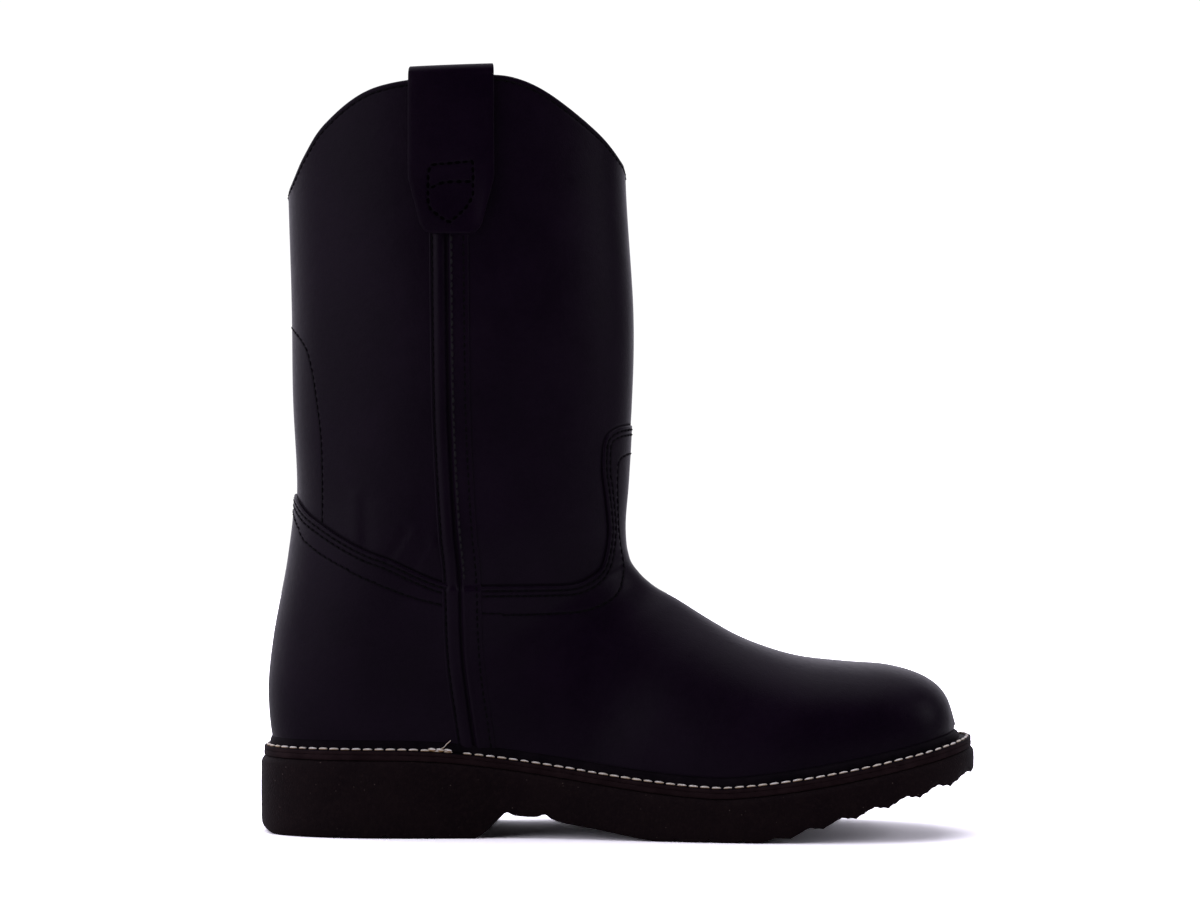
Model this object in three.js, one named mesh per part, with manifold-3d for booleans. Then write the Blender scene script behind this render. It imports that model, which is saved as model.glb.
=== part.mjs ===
import * as THREE from "three";
import { mergeVertices } from "three/addons/utils/BufferGeometryUtils.js";
import Module from "manifold-3d";

// Pull-on work boot, left foot. Millimetres, +X to the toe, +Y to the outer side, +Z up.
const wasm = await Module();
wasm.setup();

// Driving dimensions of the last
const FOOT_LENGTH = 292; // heel to toe over the upper
const BALL_WIDTH = 96; // over the upper
const SHAFT_WIDTH = 86; // over the leather, side to side
const INSTEP_HEIGHT = 100; // welt to throat
const SHAFT_RISE = 184; // throat to the highest point of the collar
const COLLAR_DIP = 50; // how far the collar drops at front and back

// Driving dimensions of the sole
const HEEL_STACK = 37; // floor to the welt's top under the heel
const BALL_STACK = 22.2; // the same under the ball
const TOE_RISE = 18.8; // how far the toe tip lies above the ball
const TOE_LIFT = 28.5; // floor to the tread at the toe tip
const ARCH_HEIGHT = 10.5;
const WELT_THICKNESS = 1.8;
const MIDSOLE_THICKNESS = 2.1;
const INSOLE_THICKNESS = 4;
const FLANGE_WIDTH = 6.2; // upper to the flange's edge, at the waist
const RIDGE_WIDTH = 3.3;
const RIDGE_HEIGHT = 4.2;
const OUTSOLE_LEDGE = 1.2; // outsole edge beyond the flange's edge
const LUG_PITCH = 13.6;
const LUG_RISER = 7.4;
const GROOVE_DEPTH = 1;
const GROOVE_WIDTH = 2.6;

// Driving dimensions of the leather
const WALL = 2.4;
const OVERLAY = 1; // vamp and counter
const SEAM_THICKNESS = 1.3;
const SEAM_WIDTH = 16.6;
const STRAP_WIDTH = 35.5;
const STRAP_THICKNESS = 2.2;
const STRAP_OUTSIDE = 71; // top of the loop to its outer end
const STRAP_INSIDE = 48; // top of the loop to its inner end
const STRAP_TAPER = 24; // length of the tapered end
const STRAP_END_WIDTH = 24;
const STRAP_SLACK = 0.7; // clearance of the loop round the wall
const GAP = 0.3; // clearance between neighbouring pieces

// Mesh fineness
const AROUND = 26;
const REACH = BALL_WIDTH; // cutting prisms reach past both sides

// Sections of the last, from above the collar to the toe tip. Each lies between a back point and a
// front point of the side view: X as shares of FOOT_LENGTH from the middle, Z above the welt line
// as shares of INSTEP_HEIGHT and SHAFT_RISE. half is the half width as shares of BALL_WIDTH and
// SHAFT_WIDTH, shift and lean are shares of BALL_WIDTH, and widest is the share of the way from
// back to front. low and high are the exponents of the two halves of the section.
const SECTION_COLUMNS = [
  "backX", "backFoot", "backShaft", "frontX", "frontFoot", "frontShaft",
  "halfFoot", "halfShaft", "shift", "lean", "widest", "low", "high",
];
const SECTIONS = [
  [-0.488, 1, 1.09, 0.008, 1, 1.15, 0, 0.5, 0, 0, 0.5, 2.05, 2.05],
  [-0.486, 1, 0.777, 0.01, 1, 0.837, 0, 0.5, 0, 0, 0.5, 2.05, 2.05],
  [-0.482, 1, 0.473, 0.022, 1, 0.534, 0, 0.5, 0, 0, 0.5, 2.05, 2.05],
  [-0.482, 1, 0.261, 0.022, 1, 0.31, 0, 0.494, 0, 0, 0.5, 2.05, 2.1],
  [-0.478, 1, 0.05, 0.0175, 1, 0.14, 0, 0.488, 0, 0, 0.49, 2.1, 2.1],
  [-0.4875, 0.8, 0, 0.013, 1, 0.043, 0.1, 0.372, 0, 0, 0.48, 2.15, 2.1],
  [-0.508, 0.46, 0, 0.014, 0.98, 0, 0.2, 0.24, 0.003, 0, 0.47, 2.2, 2.1],
  [-0.5145, 0.2, 0, 0.0175, 0.93, 0, 0.3, 0.11, 0.006, 0, 0.45, 2.3, 2.1],
  [-0.501, -0.05, 0, 0.0215, 0.9, 0, 0.378, 0, 0.008, 0, 0.43, 2.4, 2.05],
  [-0.448, -0.22, 0, 0.03, 0.87, 0, 0.367, 0, 0.01, 0.01, 0.42, 2.5, 2],
  [-0.36, -0.29, 0, 0.041, 0.84, 0, 0.36, 0, 0.016, 0.015, 0.42, 2.6, 1.95],
  [-0.247, -0.29, 0, 0.059, 0.805, 0, 0.366, 0, 0.028, 0.03, 0.42, 2.7, 1.9],
  [-0.13, -0.28, 0, 0.089, 0.765, 0, 0.394, 0, 0.036, 0.05, 0.42, 2.7, 1.9],
  [-0.007, -0.255, 0, 0.1335, 0.69, 0, 0.458, 0, 0.03, 0.06, 0.41, 2.7, 1.95],
  [0.11, -0.245, 0, 0.19, 0.592, 0, 0.496, 0, 0.012, 0.06, 0.4, 2.6, 2.05],
  [0.212, -0.23, 0, 0.26, 0.5, 0, 0.498, 0, -0.01, 0.04, 0.4, 2.5, 2.2],
  [0.308, -0.21, 0, 0.332, 0.438, 0, 0.462, 0, -0.036, 0.025, 0.41, 2.4, 2.3],
  [0.384, -0.175, 0, 0.397, 0.382, 0, 0.394, 0, -0.06, 0.01, 0.42, 2.35, 2.35],
  [0.442, -0.115, 0, 0.4485, 0.3, 0, 0.305, 0, -0.08, 0, 0.43, 2.3, 2.3],
  [0.4775, -0.05, 0, 0.4795, 0.2, 0, 0.176, 0, -0.092, 0, 0.45, 2.2, 2.2],
  [0.4945, 0.06, 0, 0.4945, 0.06, 0, 0, 0, -0.098, 0, 0.5, 2.1, 2.1],
].map((row) => Object.fromEntries(row.map((value, i) => [SECTION_COLUMNS[i], value])));
const LAST_ROW = SECTIONS.length - 1;

// Points of the side view: along is a share of FOOT_LENGTH from the middle, up a share of
// INSTEP_HEIGHT above the heel's welt line.
const sidePoint = ([along, up]) =>
  new THREE.Vector2(along * FOOT_LENGTH, HEEL_STACK + up * INSTEP_HEIGHT);
const VAMP_EDGE = [
  [-0.2, 0.69], [-0.113, 0.69], [-0.071, 0.691], [-0.05, 0.706], [-0.027, 0.75],
  [-0.018, 0.813], [-0.012, 0.907], [-0.0137, 0.988], [-0.019, 1.082], [-0.0245, 1.163],
  [-0.0253, 1.239], [-0.0222, 1.303], [-0.012, 1.338], [0.004, 1.355], [0.022, 1.362],
].map(sidePoint);
const COUNTER_EDGE = [
  [-0.482, 1.085], [-0.459, 1.005], [-0.433, 0.951], [-0.399, 0.89], [-0.363, 0.837],
  [-0.328, 0.8], [-0.291, 0.75], [-0.255, 0.708],
].map(sidePoint);
const SEAM_LINE = [
  [-0.244, 2.2], [-0.2416, 1.52], [-0.238, 1.21], [-0.232, 0.916], [-0.2262, 0.74],
  [-0.2244, 0.5], [-0.2207, 0.335], [-0.2103, 0.113], [-0.2, -0.1],
].map(sidePoint);

// The collar in the side view: drop is a share of COLLAR_DIP below its highest point.
const COLLAR = [
  [-0.53, 1.25], [-0.4856, 0.93], [-0.459, 0.65], [-0.4247, 0.38], [-0.356, 0.11], [-0.25, 0.01],
  [-0.2, 0], [-0.15, 0.02], [-0.098, 0.15], [-0.029, 0.455], [0.005, 0.68], [0.012, 0.76],
  [0.05, 1.05],
].map(([along, drop]) => ({ along, drop }));
const COLLAR_TOP = HEEL_STACK + INSTEP_HEIGHT + SHAFT_RISE;

// The arch under the waist: along as above, rise as a share of ARCH_HEIGHT.
const ARCH = [
  [-0.205, 0], [-0.188, 0.35], [-0.172, 0.8], [-0.161, 1.05], [-0.149, 0.92], [-0.12, 0.87],
  [-0.106, 0.97], [-0.096, 0.79], [-0.077, 0.62], [-0.027, 0.39], [0.02, 0.14], [0.05, 0],
].map(([along, rise]) => ({ along, rise }));

// The welt line: level under the heel, down to the ball, then up to the toe.
const WELT_LINE = { heel: -0.325, ball: 0.171, spring: 0.137, tip: 0.503, power: 1.45 };
function weltHeight(x) {
  const along = x / FOOT_LENGTH;
  const fall = THREE.MathUtils.smoothstep(along, WELT_LINE.heel, WELT_LINE.ball);
  const reach = (along - WELT_LINE.spring) / (WELT_LINE.tip - WELT_LINE.spring);
  const rise = Math.max(0, reach) ** WELT_LINE.power;
  return HEEL_STACK - (HEEL_STACK - BALL_STACK) * fall + TOE_RISE * rise;
}

// The value of one column of the section table at t, which counts rows.
function column(name, t) {
  const i = Math.min(Math.floor(t), LAST_ROW - 1);
  const f = t - i;
  const at = (k) => SECTIONS[THREE.MathUtils.clamp(k, 0, LAST_ROW)][name];
  const [a, b, c, d] = [i - 1, i, i + 1, i + 2].map(at);
  return b + 0.5 * f * (c - a + f * (2 * a - 5 * b + 4 * c - d + f * (3 * (b - c) + d - a)));
}

function sectionAt(t) {
  const end = (side) => {
    const x = column(side + "X", t) * FOOT_LENGTH;
    const foot = column(side + "Foot", t) * INSTEP_HEIGHT;
    const shaft = column(side + "Shaft", t) * SHAFT_RISE;
    return new THREE.Vector2(x, weltHeight(x) + foot + shaft);
  };
  return {
    back: end("back"),
    front: end("front"),
    half: column("halfFoot", t) * BALL_WIDTH + column("halfShaft", t) * SHAFT_WIDTH,
    shift: column("shift", t) * BALL_WIDTH,
    lean: column("lean", t) * BALL_WIDTH,
    widest: column("widest", t),
    low: column("low", t),
    high: column("high", t),
  };
}

// A point of the outer skin. angle is 0 at the front point and half a turn at the back point.
function skin(t, angle) {
  const s = sectionAt(t);
  const toFront = Math.cos(angle);
  const power = 2 / (toFront > 0 ? s.high : s.low);
  const room = toFront > 0 ? 1 - s.widest : s.widest;
  const along = s.widest + Math.sign(toFront) * room * Math.abs(toFront) ** power;
  const side = Math.sin(angle);
  const across = Math.sign(side) * s.half * Math.abs(side) ** power;
  const inSide = s.back.clone().lerp(s.front, along);
  const y = s.shift + across - s.lean * Math.max(0, toFront) ** 2;
  return new THREE.Vector3(inSide.x, y, inSide.y);
}

// The outward direction of the skin there.
const STEP = 0.004;
function outward(t, angle) {
  const low = Math.max(0, t - STEP);
  const high = Math.min(LAST_ROW - STEP, t + STEP);
  const down = skin(high, angle).sub(skin(low, angle));
  const round = skin(t, angle + STEP).sub(skin(t, angle - STEP));
  return down.cross(round).normalize();
}

// Under vamp and counter the wall lies lower by their thickness, so that the skin stays smooth.
const SUNK = { from: 2, to: 4.5 };
const sunk = (t) => (GAP + OVERLAY) * THREE.MathUtils.smoothstep(t, SUNK.from, SUNK.to);

// A closed solid from vertices and triangles, turned the right way out.
function solidOf(vertices, triangles) {
  const volume = triangles.reduce((sum, [i, j, k]) => {
    return sum + vertices[i].dot(vertices[j].clone().cross(vertices[k]));
  }, 0);
  const turned = volume < 0 ? triangles.map(([i, j, k]) => [i, k, j]) : triangles;
  return new wasm.Manifold(
    new wasm.Mesh({
      numProp: 3,
      vertProperties: new Float32Array(vertices.flatMap((v) => [v.x, v.y, v.z])),
      triVerts: new Uint32Array(turned.flat()),
    }),
  );
}

// A solid through rings of equally many points, with a fan at each end.
function loft(rings, apex) {
  const count = rings[0].length;
  const middle = (ring) =>
    ring.reduce((sum, p) => sum.add(p), new THREE.Vector3()).divideScalar(count);
  const last = rings.length - 1;
  const vertices = [...rings.flat(), middle(rings[0]), apex ?? middle(rings[last])];
  const [first, final] = [vertices.length - 2, vertices.length - 1];
  const triangles = [];
  for (let j = 0; j < count; j++) {
    const k = (j + 1) % count;
    triangles.push([first, k, j], [final, last * count + j, last * count + k]);
    for (let i = 0; i < last; i++) {
      const [a, b] = [i * count + j, i * count + k];
      triangles.push([a, b, b + count], [a, b + count, a + count]);
    }
  }
  return solidOf(vertices, triangles);
}

// The last's form at an offset from the wall's outer face, as one closed solid.
const STATIONS = [0, 1, 2, 2.7, 3.4, 4, 4.5, 5, 5.5, 6, 6.5, 7, 7.4, 7.8, 8.3, 8.8];
for (let t = 9.4; t < LAST_ROW - 2.2; t += 0.8) STATIONS.push(t);
STATIONS.push(LAST_ROW - 2, LAST_ROW - 1.5, LAST_ROW - 1, LAST_ROW - 0.6, LAST_ROW - 0.3);
const INNER_END = LAST_ROW - 1; // an inner form stops here, before its rings would cross
function form(offset) {
  const rings = STATIONS.filter((t) => offset > -WALL || t <= INNER_END).map((t, i) =>
    Array.from({ length: AROUND }, (_, j) => {
      const angle = (j / AROUND) * 2 * Math.PI;
      const point = skin(t, angle).addScaledVector(outward(t, angle), offset - sunk(t));
      if (i === 0) point.z += Math.max(0, -offset);
      return point;
    }),
  );
  const tip = skin(LAST_ROW, 0);
  tip.x += offset - sunk(LAST_ROW);
  return loft(rings, tip);
}

// A prism across the boot from an outline in the side view, between two values of Y.
function prism(outline, from = -REACH, to = REACH) {
  const extruded = new THREE.ExtrudeGeometry(new THREE.Shape(outline), {
    depth: to - from,
    bevelEnabled: false,
  });
  extruded.rotateX(Math.PI / 2).translate(0, to, 0);
  extruded.deleteAttribute("normal");
  extruded.deleteAttribute("uv");
  const merged = mergeVertices(extruded, 1e-4);
  return new wasm.Manifold(
    new wasm.Mesh({
      numProp: 3,
      vertProperties: merged.attributes.position.array,
      triVerts: new Uint32Array(merged.index.array),
    }),
  );
}

// A smooth line through points of the side view.
const smooth = (points, count) => new THREE.SplineCurve(points).getPoints(count);

// Everything under a height over the sole, or above it.
const FAR = 400;
const ENDS = 0.62; // the cutting curves reach past heel and toe, as a share of FOOT_LENGTH
function curveOver(height, count = 32) {
  return Array.from({ length: count + 1 }, (_, i) => {
    const x = (2 * (i / count) - 1) * ENDS * FOOT_LENGTH;
    return new THREE.Vector2(x, height(x));
  });
}
function under(height) {
  const edge = ENDS * FOOT_LENGTH;
  const floor = [new THREE.Vector2(-edge, -FAR), new THREE.Vector2(edge, -FAR)];
  return prism([...floor, ...curveOver(height).reverse()]);
}
function above(height) {
  const edge = ENDS * FOOT_LENGTH;
  const ceiling = [new THREE.Vector2(edge, FAR), new THREE.Vector2(-edge, FAR)];
  return prism([...curveOver(height), ...ceiling]);
}

// Where a signed value changes its sign between two arguments.
function crossing(value, low, high) {
  const rising = value(high) > value(low);
  for (let i = 0; i < 40; i++) {
    const middle = (low + high) / 2;
    if (value(middle) > 0 === rising) high = middle;
    else low = middle;
  }
  return (low + high) / 2;
}

// The feather line, where the skin meets the welt's top, as a closed outline seen from above.
const HEEL_ROWS = [7, 9]; // the line starts between these rows and ends between the last two
const OUTLINE_STEPS = 28;
function featherLine() {
  const aboveWelt = (t, angle) => {
    const point = skin(t, angle);
    return point.z - weltHeight(point.x);
  };
  const start = crossing((t) => aboveWelt(t, Math.PI), ...HEEL_ROWS);
  const end = crossing((t) => aboveWelt(t, Math.PI), LAST_ROW - 2, LAST_ROW);
  const side = (turn) =>
    Array.from({ length: OUTLINE_STEPS + 1 }, (_, i) => {
      const t = start + ((end - start) * (1 - Math.cos((i / OUTLINE_STEPS) * Math.PI))) / 2;
      const angle = crossing((a) => aboveWelt(t, turn * a), Math.PI / 2, Math.PI);
      const point = skin(t, turn * (i % OUTLINE_STEPS ? angle : Math.PI));
      return new THREE.Vector2(point.x, point.y);
    });
  return [...side(-1), ...side(1).reverse().slice(1, -1)];
}
const FEATHER = featherLine();

// The outline moved outwards by a distance that may change along the boot.
function outline(distance) {
  return FEATHER.map((point, i) => {
    const before = FEATHER.at(i - 1);
    const after = FEATHER[(i + 1) % FEATHER.length];
    const along = after.clone().sub(before).normalize();
    const away = typeof distance === "function" ? distance(point.x) : distance;
    return new THREE.Vector2(point.x + along.y * away, point.y - along.x * away);
  });
}

// The flange is narrow round the heel and wide round the toe.
const FLANGE = { heel: 0.68, toe: 1.38, from: -0.2, to: 0.5 };
function flange(x) {
  const forward = THREE.MathUtils.smoothstep(x / FOOT_LENGTH, FLANGE.from, FLANGE.to);
  return FLANGE_WIDTH * THREE.MathUtils.lerp(FLANGE.heel, FLANGE.toe, forward);
}

// A slab over the outline, through levels from the lowest to the highest.
function slab(levels) {
  const rings = levels.map(({ reach, height }) =>
    outline((x) => flange(x) + reach).map((p) => new THREE.Vector3(p.x, p.y, height(p.x))),
  );
  const count = FEATHER.length;
  const vertices = rings.flat();
  const top = (rings.length - 1) * count;
  const triangles = [];
  for (let i = 0; i < top; i += count)
    for (let j = 0; j < count; j++) {
      const k = (j + 1) % count;
      triangles.push([i + j, i + k, i + k + count], [i + j, i + k + count, i + j + count]);
    }
  for (let j = 0; j < count / 2; j++) {
    const [a, b] = [j, j + 1];
    const [c, d] = [(count - j) % count, count - j - 1];
    if (a !== c) triangles.push([a, c, b], [top + a, top + b, top + c]);
    if (b !== d) triangles.push([b, c, d], [top + b, top + d, top + c]);
  }
  return solidOf(vertices, triangles);
}

// A profile of distances from the upper and heights over the welt, run round the outline.
function roundTheUpper(profile) {
  const rings = profile.map(({ out, up }) =>
    outline((x) => (typeof out === "function" ? out(x) : out)).map(
      (p) => new THREE.Vector3(p.x, p.y, weltHeight(p.x) + up),
    ),
  );
  const count = FEATHER.length;
  const triangles = [];
  for (let i = 0; i < rings.length; i++)
    for (let j = 0; j < count; j++) {
      const k = (j + 1) % count;
      const next = ((i + 1) % rings.length) * count;
      triangles.push([i * count + j, i * count + k, next + k], [i * count + j, next + k, next + j]);
    }
  return solidOf(rings.flat(), triangles);
}

// The upper: one wall, open at the collar and underneath.
const SKIN = GAP + OVERLAY; // outer skin of vamp and counter over the wall
const weltFoot = (x) => weltHeight(x) - WELT_THICKNESS;
const wallInside = form(-WALL);
const underFoot = under(weltFoot);
const collarHeight = ({ along, drop }) =>
  new THREE.Vector2(along * FOOT_LENGTH, COLLAR_TOP - drop * COLLAR_DIP);
const COLLAR_STEPS = 40;
const collarCut = prism([
  ...smooth(COLLAR.map(collarHeight), COLLAR_STEPS),
  new THREE.Vector2(FAR, COLLAR_TOP),
  new THREE.Vector2(FAR, FAR * 2),
  new THREE.Vector2(-FAR, FAR * 2),
  new THREE.Vector2(-FAR, COLLAR_TOP),
]);
const upper = form(0).subtract(wallInside).subtract(underFoot).subtract(collarCut);

// Vamp and counter: a layer over the wall, cut out by their edges in the side view.
const layer = form(SKIN).subtract(form(GAP)).subtract(underFoot);
const EDGE_STEPS = 18;
const seamMiddle = smooth(SEAM_LINE, EDGE_STEPS);
const seamEdge = (side) =>
  seamMiddle.map((p) => new THREE.Vector2(p.x + side * (SEAM_WIDTH / 2 + GAP), p.y));
const upTo = (points, height) => points.filter((p) => p.y < height);
const vampEdge = smooth(VAMP_EDGE, EDGE_STEPS);
const vamp = layer.intersect(
  prism([
    ...upTo(seamEdge(1), vampEdge[0].y - 1).reverse(),
    ...vampEdge.filter((p) => p.x > seamMiddle.at(-1).x),
    new THREE.Vector2(FAR, vampEdge.at(-1).y),
    new THREE.Vector2(FAR, -FAR),
    new THREE.Vector2(seamEdge(1).at(-1).x, -FAR),
  ]),
);
const counterEdge = smooth(COUNTER_EDGE, EDGE_STEPS);
const counter = layer.intersect(
  prism([
    ...counterEdge,
    ...upTo(seamEdge(-1), counterEdge.at(-1).y),
    new THREE.Vector2(seamEdge(-1).at(-1).x, -FAR),
    new THREE.Vector2(-FAR, -FAR),
    new THREE.Vector2(-FAR, counterEdge[0].y),
  ]),
);

// The welt: a flange with a rounded ridge that leans on the upper.
const WELT_TUCK = 4; // the profile starts inside the upper and is cut back to its skin
const edgeOfWelt = (share) => (x) => flange(x) * share;
const RIDGE_ROUND = [
  { out: 1.04, up: 0.02 }, { out: 1, up: 0.5 }, { out: 0.83, up: 0.85 }, { out: 0.5, up: 1 },
];
const weltForm = roundTheUpper([
  { out: -WELT_TUCK, up: -WELT_THICKNESS },
  { out: edgeOfWelt(1), up: -WELT_THICKNESS },
  { out: edgeOfWelt(1), up: 0 },
  ...RIDGE_ROUND.map(({ out, up }) => ({
    out: Math.min(out * RIDGE_WIDTH, FLANGE_WIDTH * FLANGE.heel - GAP),
    up: up * RIDGE_HEIGHT,
  })),
  { out: -WELT_TUCK, up: RIDGE_HEIGHT },
]);
const welt = weltForm.subtract(form(SKIN + GAP));

// Midsole and insole
const midsoleTop = (x) => weltFoot(x) - GAP;
const midsoleFoot = (x) => midsoleTop(x) - MIDSOLE_THICKNESS;
const TRIM = 2; // slabs are built this much too thick and cut along the welt line
const midsole = slab([
  { reach: 0, height: (x) => midsoleFoot(x) - TRIM },
  { reach: 0, height: (x) => midsoleTop(x) + TRIM },
])
  .subtract(under(midsoleFoot))
  .subtract(above(midsoleTop));
const insole = form(-WALL - GAP)
  .subtract(underFoot)
  .subtract(above((x) => weltFoot(x) + INSOLE_THICKNESS));

// The outsole: a slab cut by its side profile, with heel, arch, lugs and toe ramp.
const outsoleTop = (x) => midsoleFoot(x) - GAP;
const LEDGE_DROP = 2.2; // the side widens over this height
const outsoleForm = slab([
  { reach: OUTSOLE_LEDGE, height: () => -GROOVE_DEPTH },
  { reach: OUTSOLE_LEDGE, height: (x) => outsoleTop(x) - LEDGE_DROP },
  { reach: 0, height: outsoleTop },
  { reach: 0, height: (x) => outsoleTop(x) + TRIM },
]).subtract(above(outsoleTop));
const HEEL_BEVEL = { length: 7, height: 5.2 };
const RAMP = { from: 0.198, to: 0.527 }; // the tread leaves the floor here and ends past the toe
const HEEL_GROOVES = [-0.406, -0.337, -0.268];
function groove(x) {
  const half = GROOVE_WIDTH / 2;
  const slope = half * 0.4;
  return [[-half, 0], [-slope, GROOVE_DEPTH], [slope, GROOVE_DEPTH], [half, 0]].map(
    ([dx, z]) => new THREE.Vector2(x + dx, z),
  );
}
function treadProfile() {
  const heel = outline((x) => flange(x) + OUTSOLE_LEDGE)[0].x;
  const bevel = [0, 0.33, 0.67, 1].map((u) => {
    const turn = (u * Math.PI) / 2;
    const x = heel + HEEL_BEVEL.length * Math.sin(turn) - GAP;
    return new THREE.Vector2(x, HEEL_BEVEL.height * (1 - Math.sqrt(Math.sin(turn))));
  });
  const archPoint = ({ along, rise }) =>
    new THREE.Vector2(along * FOOT_LENGTH, rise * ARCH_HEIGHT);
  const arch = ARCH.map(archPoint);
  const rampStart = RAMP.from * FOOT_LENGTH;
  const rampHeight = (x) => (TOE_LIFT * (x - rampStart)) / ((RAMP.to - RAMP.from) * FOOT_LENGTH);
  const flatStart = arch.at(-1).x;
  const flat = [];
  for (let x = rampStart - LUG_PITCH / 2; x > flatStart + GROOVE_WIDTH; x -= LUG_PITCH)
    flat.unshift(...groove(x));
  const stairs = [];
  for (let x = rampStart; x < RAMP.to * FOOT_LENGTH + LUG_PITCH; x += LUG_PITCH) {
    const level = rampHeight(x + LUG_PITCH / 2);
    stairs.push(new THREE.Vector2(x + LUG_RISER, level * 0.96));
    stairs.push(new THREE.Vector2(x + LUG_PITCH, level));
  }
  return [
    new THREE.Vector2(-FAR, HEEL_BEVEL.height),
    ...bevel,
    ...HEEL_GROOVES.flatMap((along) => groove(along * FOOT_LENGTH)),
    ...arch,
    ...flat,
    new THREE.Vector2(rampStart, 0),
    ...stairs,
    new THREE.Vector2(FAR, FAR),
    new THREE.Vector2(-FAR, FAR),
  ];
}
const outsole = outsoleForm.intersect(prism(treadProfile()));

// The raised side seams, from under the strap down to the welt's ridge.
const underRidge = under((x) => weltHeight(x) + RIDGE_HEIGHT + GAP);
const strapFoot = COLLAR_TOP + STRAP_SLACK + WALL / 2 + STRAP_THICKNESS - STRAP_OUTSIDE;
const seamForm = form(GAP + SEAM_THICKNESS).subtract(form(GAP)).subtract(underRidge);
function band(centre, from, to, side) {
  const reach = side > 0 ? [0, REACH] : [-REACH, 0];
  const kept = centre.filter((p) => p.y < strapFoot - GAP);
  const first = new THREE.Vector2(kept[0].x, strapFoot - GAP);
  const line = [first, ...kept];
  const left = line.map((p) => new THREE.Vector2(p.x + from, p.y));
  const right = line.map((p) => new THREE.Vector2(p.x + to, p.y));
  return prism([...left, ...right.reverse()], ...reach);
}
function sideSeam(side) {
  return seamForm.intersect(band(seamMiddle, -SEAM_WIDTH / 2, SEAM_WIDTH / 2, side));
}

// The wall's outer face at a point of the side view, above the ankle, and its direction there.
const SHAFT_ROWS = [0, 5];
function wallAt(x, z, side) {
  const t = crossing((row) => {
    const { back, front } = sectionAt(row);
    const chord = front.clone().sub(back);
    return chord.x * (z - back.y) - chord.y * (x - back.x);
  }, ...SHAFT_ROWS);
  const s = sectionAt(t);
  const share = (x - s.back.x) / (s.front.x - s.back.x);
  const upper = share > s.widest;
  const r = upper ? (share - s.widest) / (1 - s.widest) : (s.widest - share) / s.widest;
  const toFront = r ** ((upper ? s.high : s.low) / 2);
  const angle = side * Math.acos(upper ? toFront : -toFront);
  const out = outward(t, angle);
  return { point: skin(t, angle).addScaledVector(out, -sunk(t)), out };
}

// A pull strap: a loop over the collar, one leg on each face of the wall.
const STRAP_CENTRE = -0.2404;
const STRAP_ACROSS = 5;
const STRAP_BEND = 5;
const STRAP_LEG = 4;
function pullStrap(side) {
  const inner = WALL / 2 + STRAP_SLACK;
  const outer = inner + STRAP_THICKNESS;
  const top = COLLAR_TOP + outer;
  const leg = (length, sign) => {
    const row = (z, width) => ({ near: [sign * inner, 0], far: [sign * outer, 0], z, width });
    const shoulder = top - length + STRAP_TAPER;
    const straight = Array.from({ length: STRAP_LEG }, (_, i) =>
      row(THREE.MathUtils.lerp(COLLAR_TOP, shoulder, (i + 1) / STRAP_LEG), STRAP_WIDTH),
    );
    const middle = row(shoulder - STRAP_TAPER / 2, (STRAP_WIDTH + STRAP_END_WIDTH) / 2);
    return [...straight, middle, row(top - length, STRAP_END_WIDTH)];
  };
  const bend = Array.from({ length: STRAP_BEND + 1 }, (_, i) => {
    const turn = (i / STRAP_BEND) * Math.PI;
    const place = (r) => [r * Math.cos(turn), r * Math.sin(turn)];
    return { near: place(inner), far: place(outer), z: COLLAR_TOP, width: STRAP_WIDTH };
  });
  const path = [
    ...leg(STRAP_OUTSIDE, 1).reverse(),
    ...bend,
    ...leg(STRAP_INSIDE, -1),
  ];
  const rings = path.map(({ near, far, z, width }) => {
    const row = (place) =>
      Array.from({ length: STRAP_ACROSS + 1 }, (_, j) => {
        const x = STRAP_CENTRE * FOOT_LENGTH + (j / STRAP_ACROSS - 0.5) * width;
        const { point, out } = wallAt(x, z, side);
        point.z += place[1];
        return point.addScaledVector(out, place[0] - WALL / 2);
      });
    return [...row(near), ...row(far).reverse()];
  });
  return loft(rings);
}

// The boot as a group of named pieces
const leather = { color: 0x1b1819, roughness: 0.45 };
const MATERIALS = {
  upper: leather,
  vamp: leather,
  counter: leather,
  seam: leather,
  strap: leather,
  welt: { color: 0x181414, roughness: 0.35 },
  midsole: { color: 0x5a4a42, roughness: 0.8 },
  insole: { color: 0x4a3a2c, roughness: 0.9 },
  outsole: { color: 0x3a2a25, roughness: 0.9 },
};
const boot = new THREE.Group();
function addPiece(name, solid, look) {
  const { vertProperties, numProp, triVerts } = solid.getMesh();
  const place = new THREE.InterleavedBuffer(vertProperties, numProp);
  const geometry = new THREE.BufferGeometry();
  geometry.setAttribute("position", new THREE.InterleavedBufferAttribute(place, 3, 0));
  geometry.setIndex(new THREE.BufferAttribute(triVerts, 1));
  const mesh = new THREE.Mesh(geometry, new THREE.MeshStandardMaterial(MATERIALS[look]));
  mesh.name = name;
  boot.add(mesh);
}
addPiece("outsole", outsole, "outsole");
addPiece("midsole", midsole, "midsole");
addPiece("welt", welt, "welt");
addPiece("insole", insole, "insole");
addPiece("upper", upper, "upper");
addPiece("vamp", vamp, "vamp");
addPiece("counter", counter, "counter");
for (const [name, side] of [["medial", -1], ["lateral", 1]]) {
  addPiece(`side_seam_${name}`, sideSeam(side), "seam");
  addPiece(`pull_strap_${name}`, pullStrap(side), "strap");
}

// The origin lies on the floor under the middle of the boot.
const middle = new THREE.Box3().setFromObject(boot).getCenter(new THREE.Vector3());
boot.position.set(-middle.x, -middle.y, 0);

export default boot;
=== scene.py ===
import math

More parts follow.
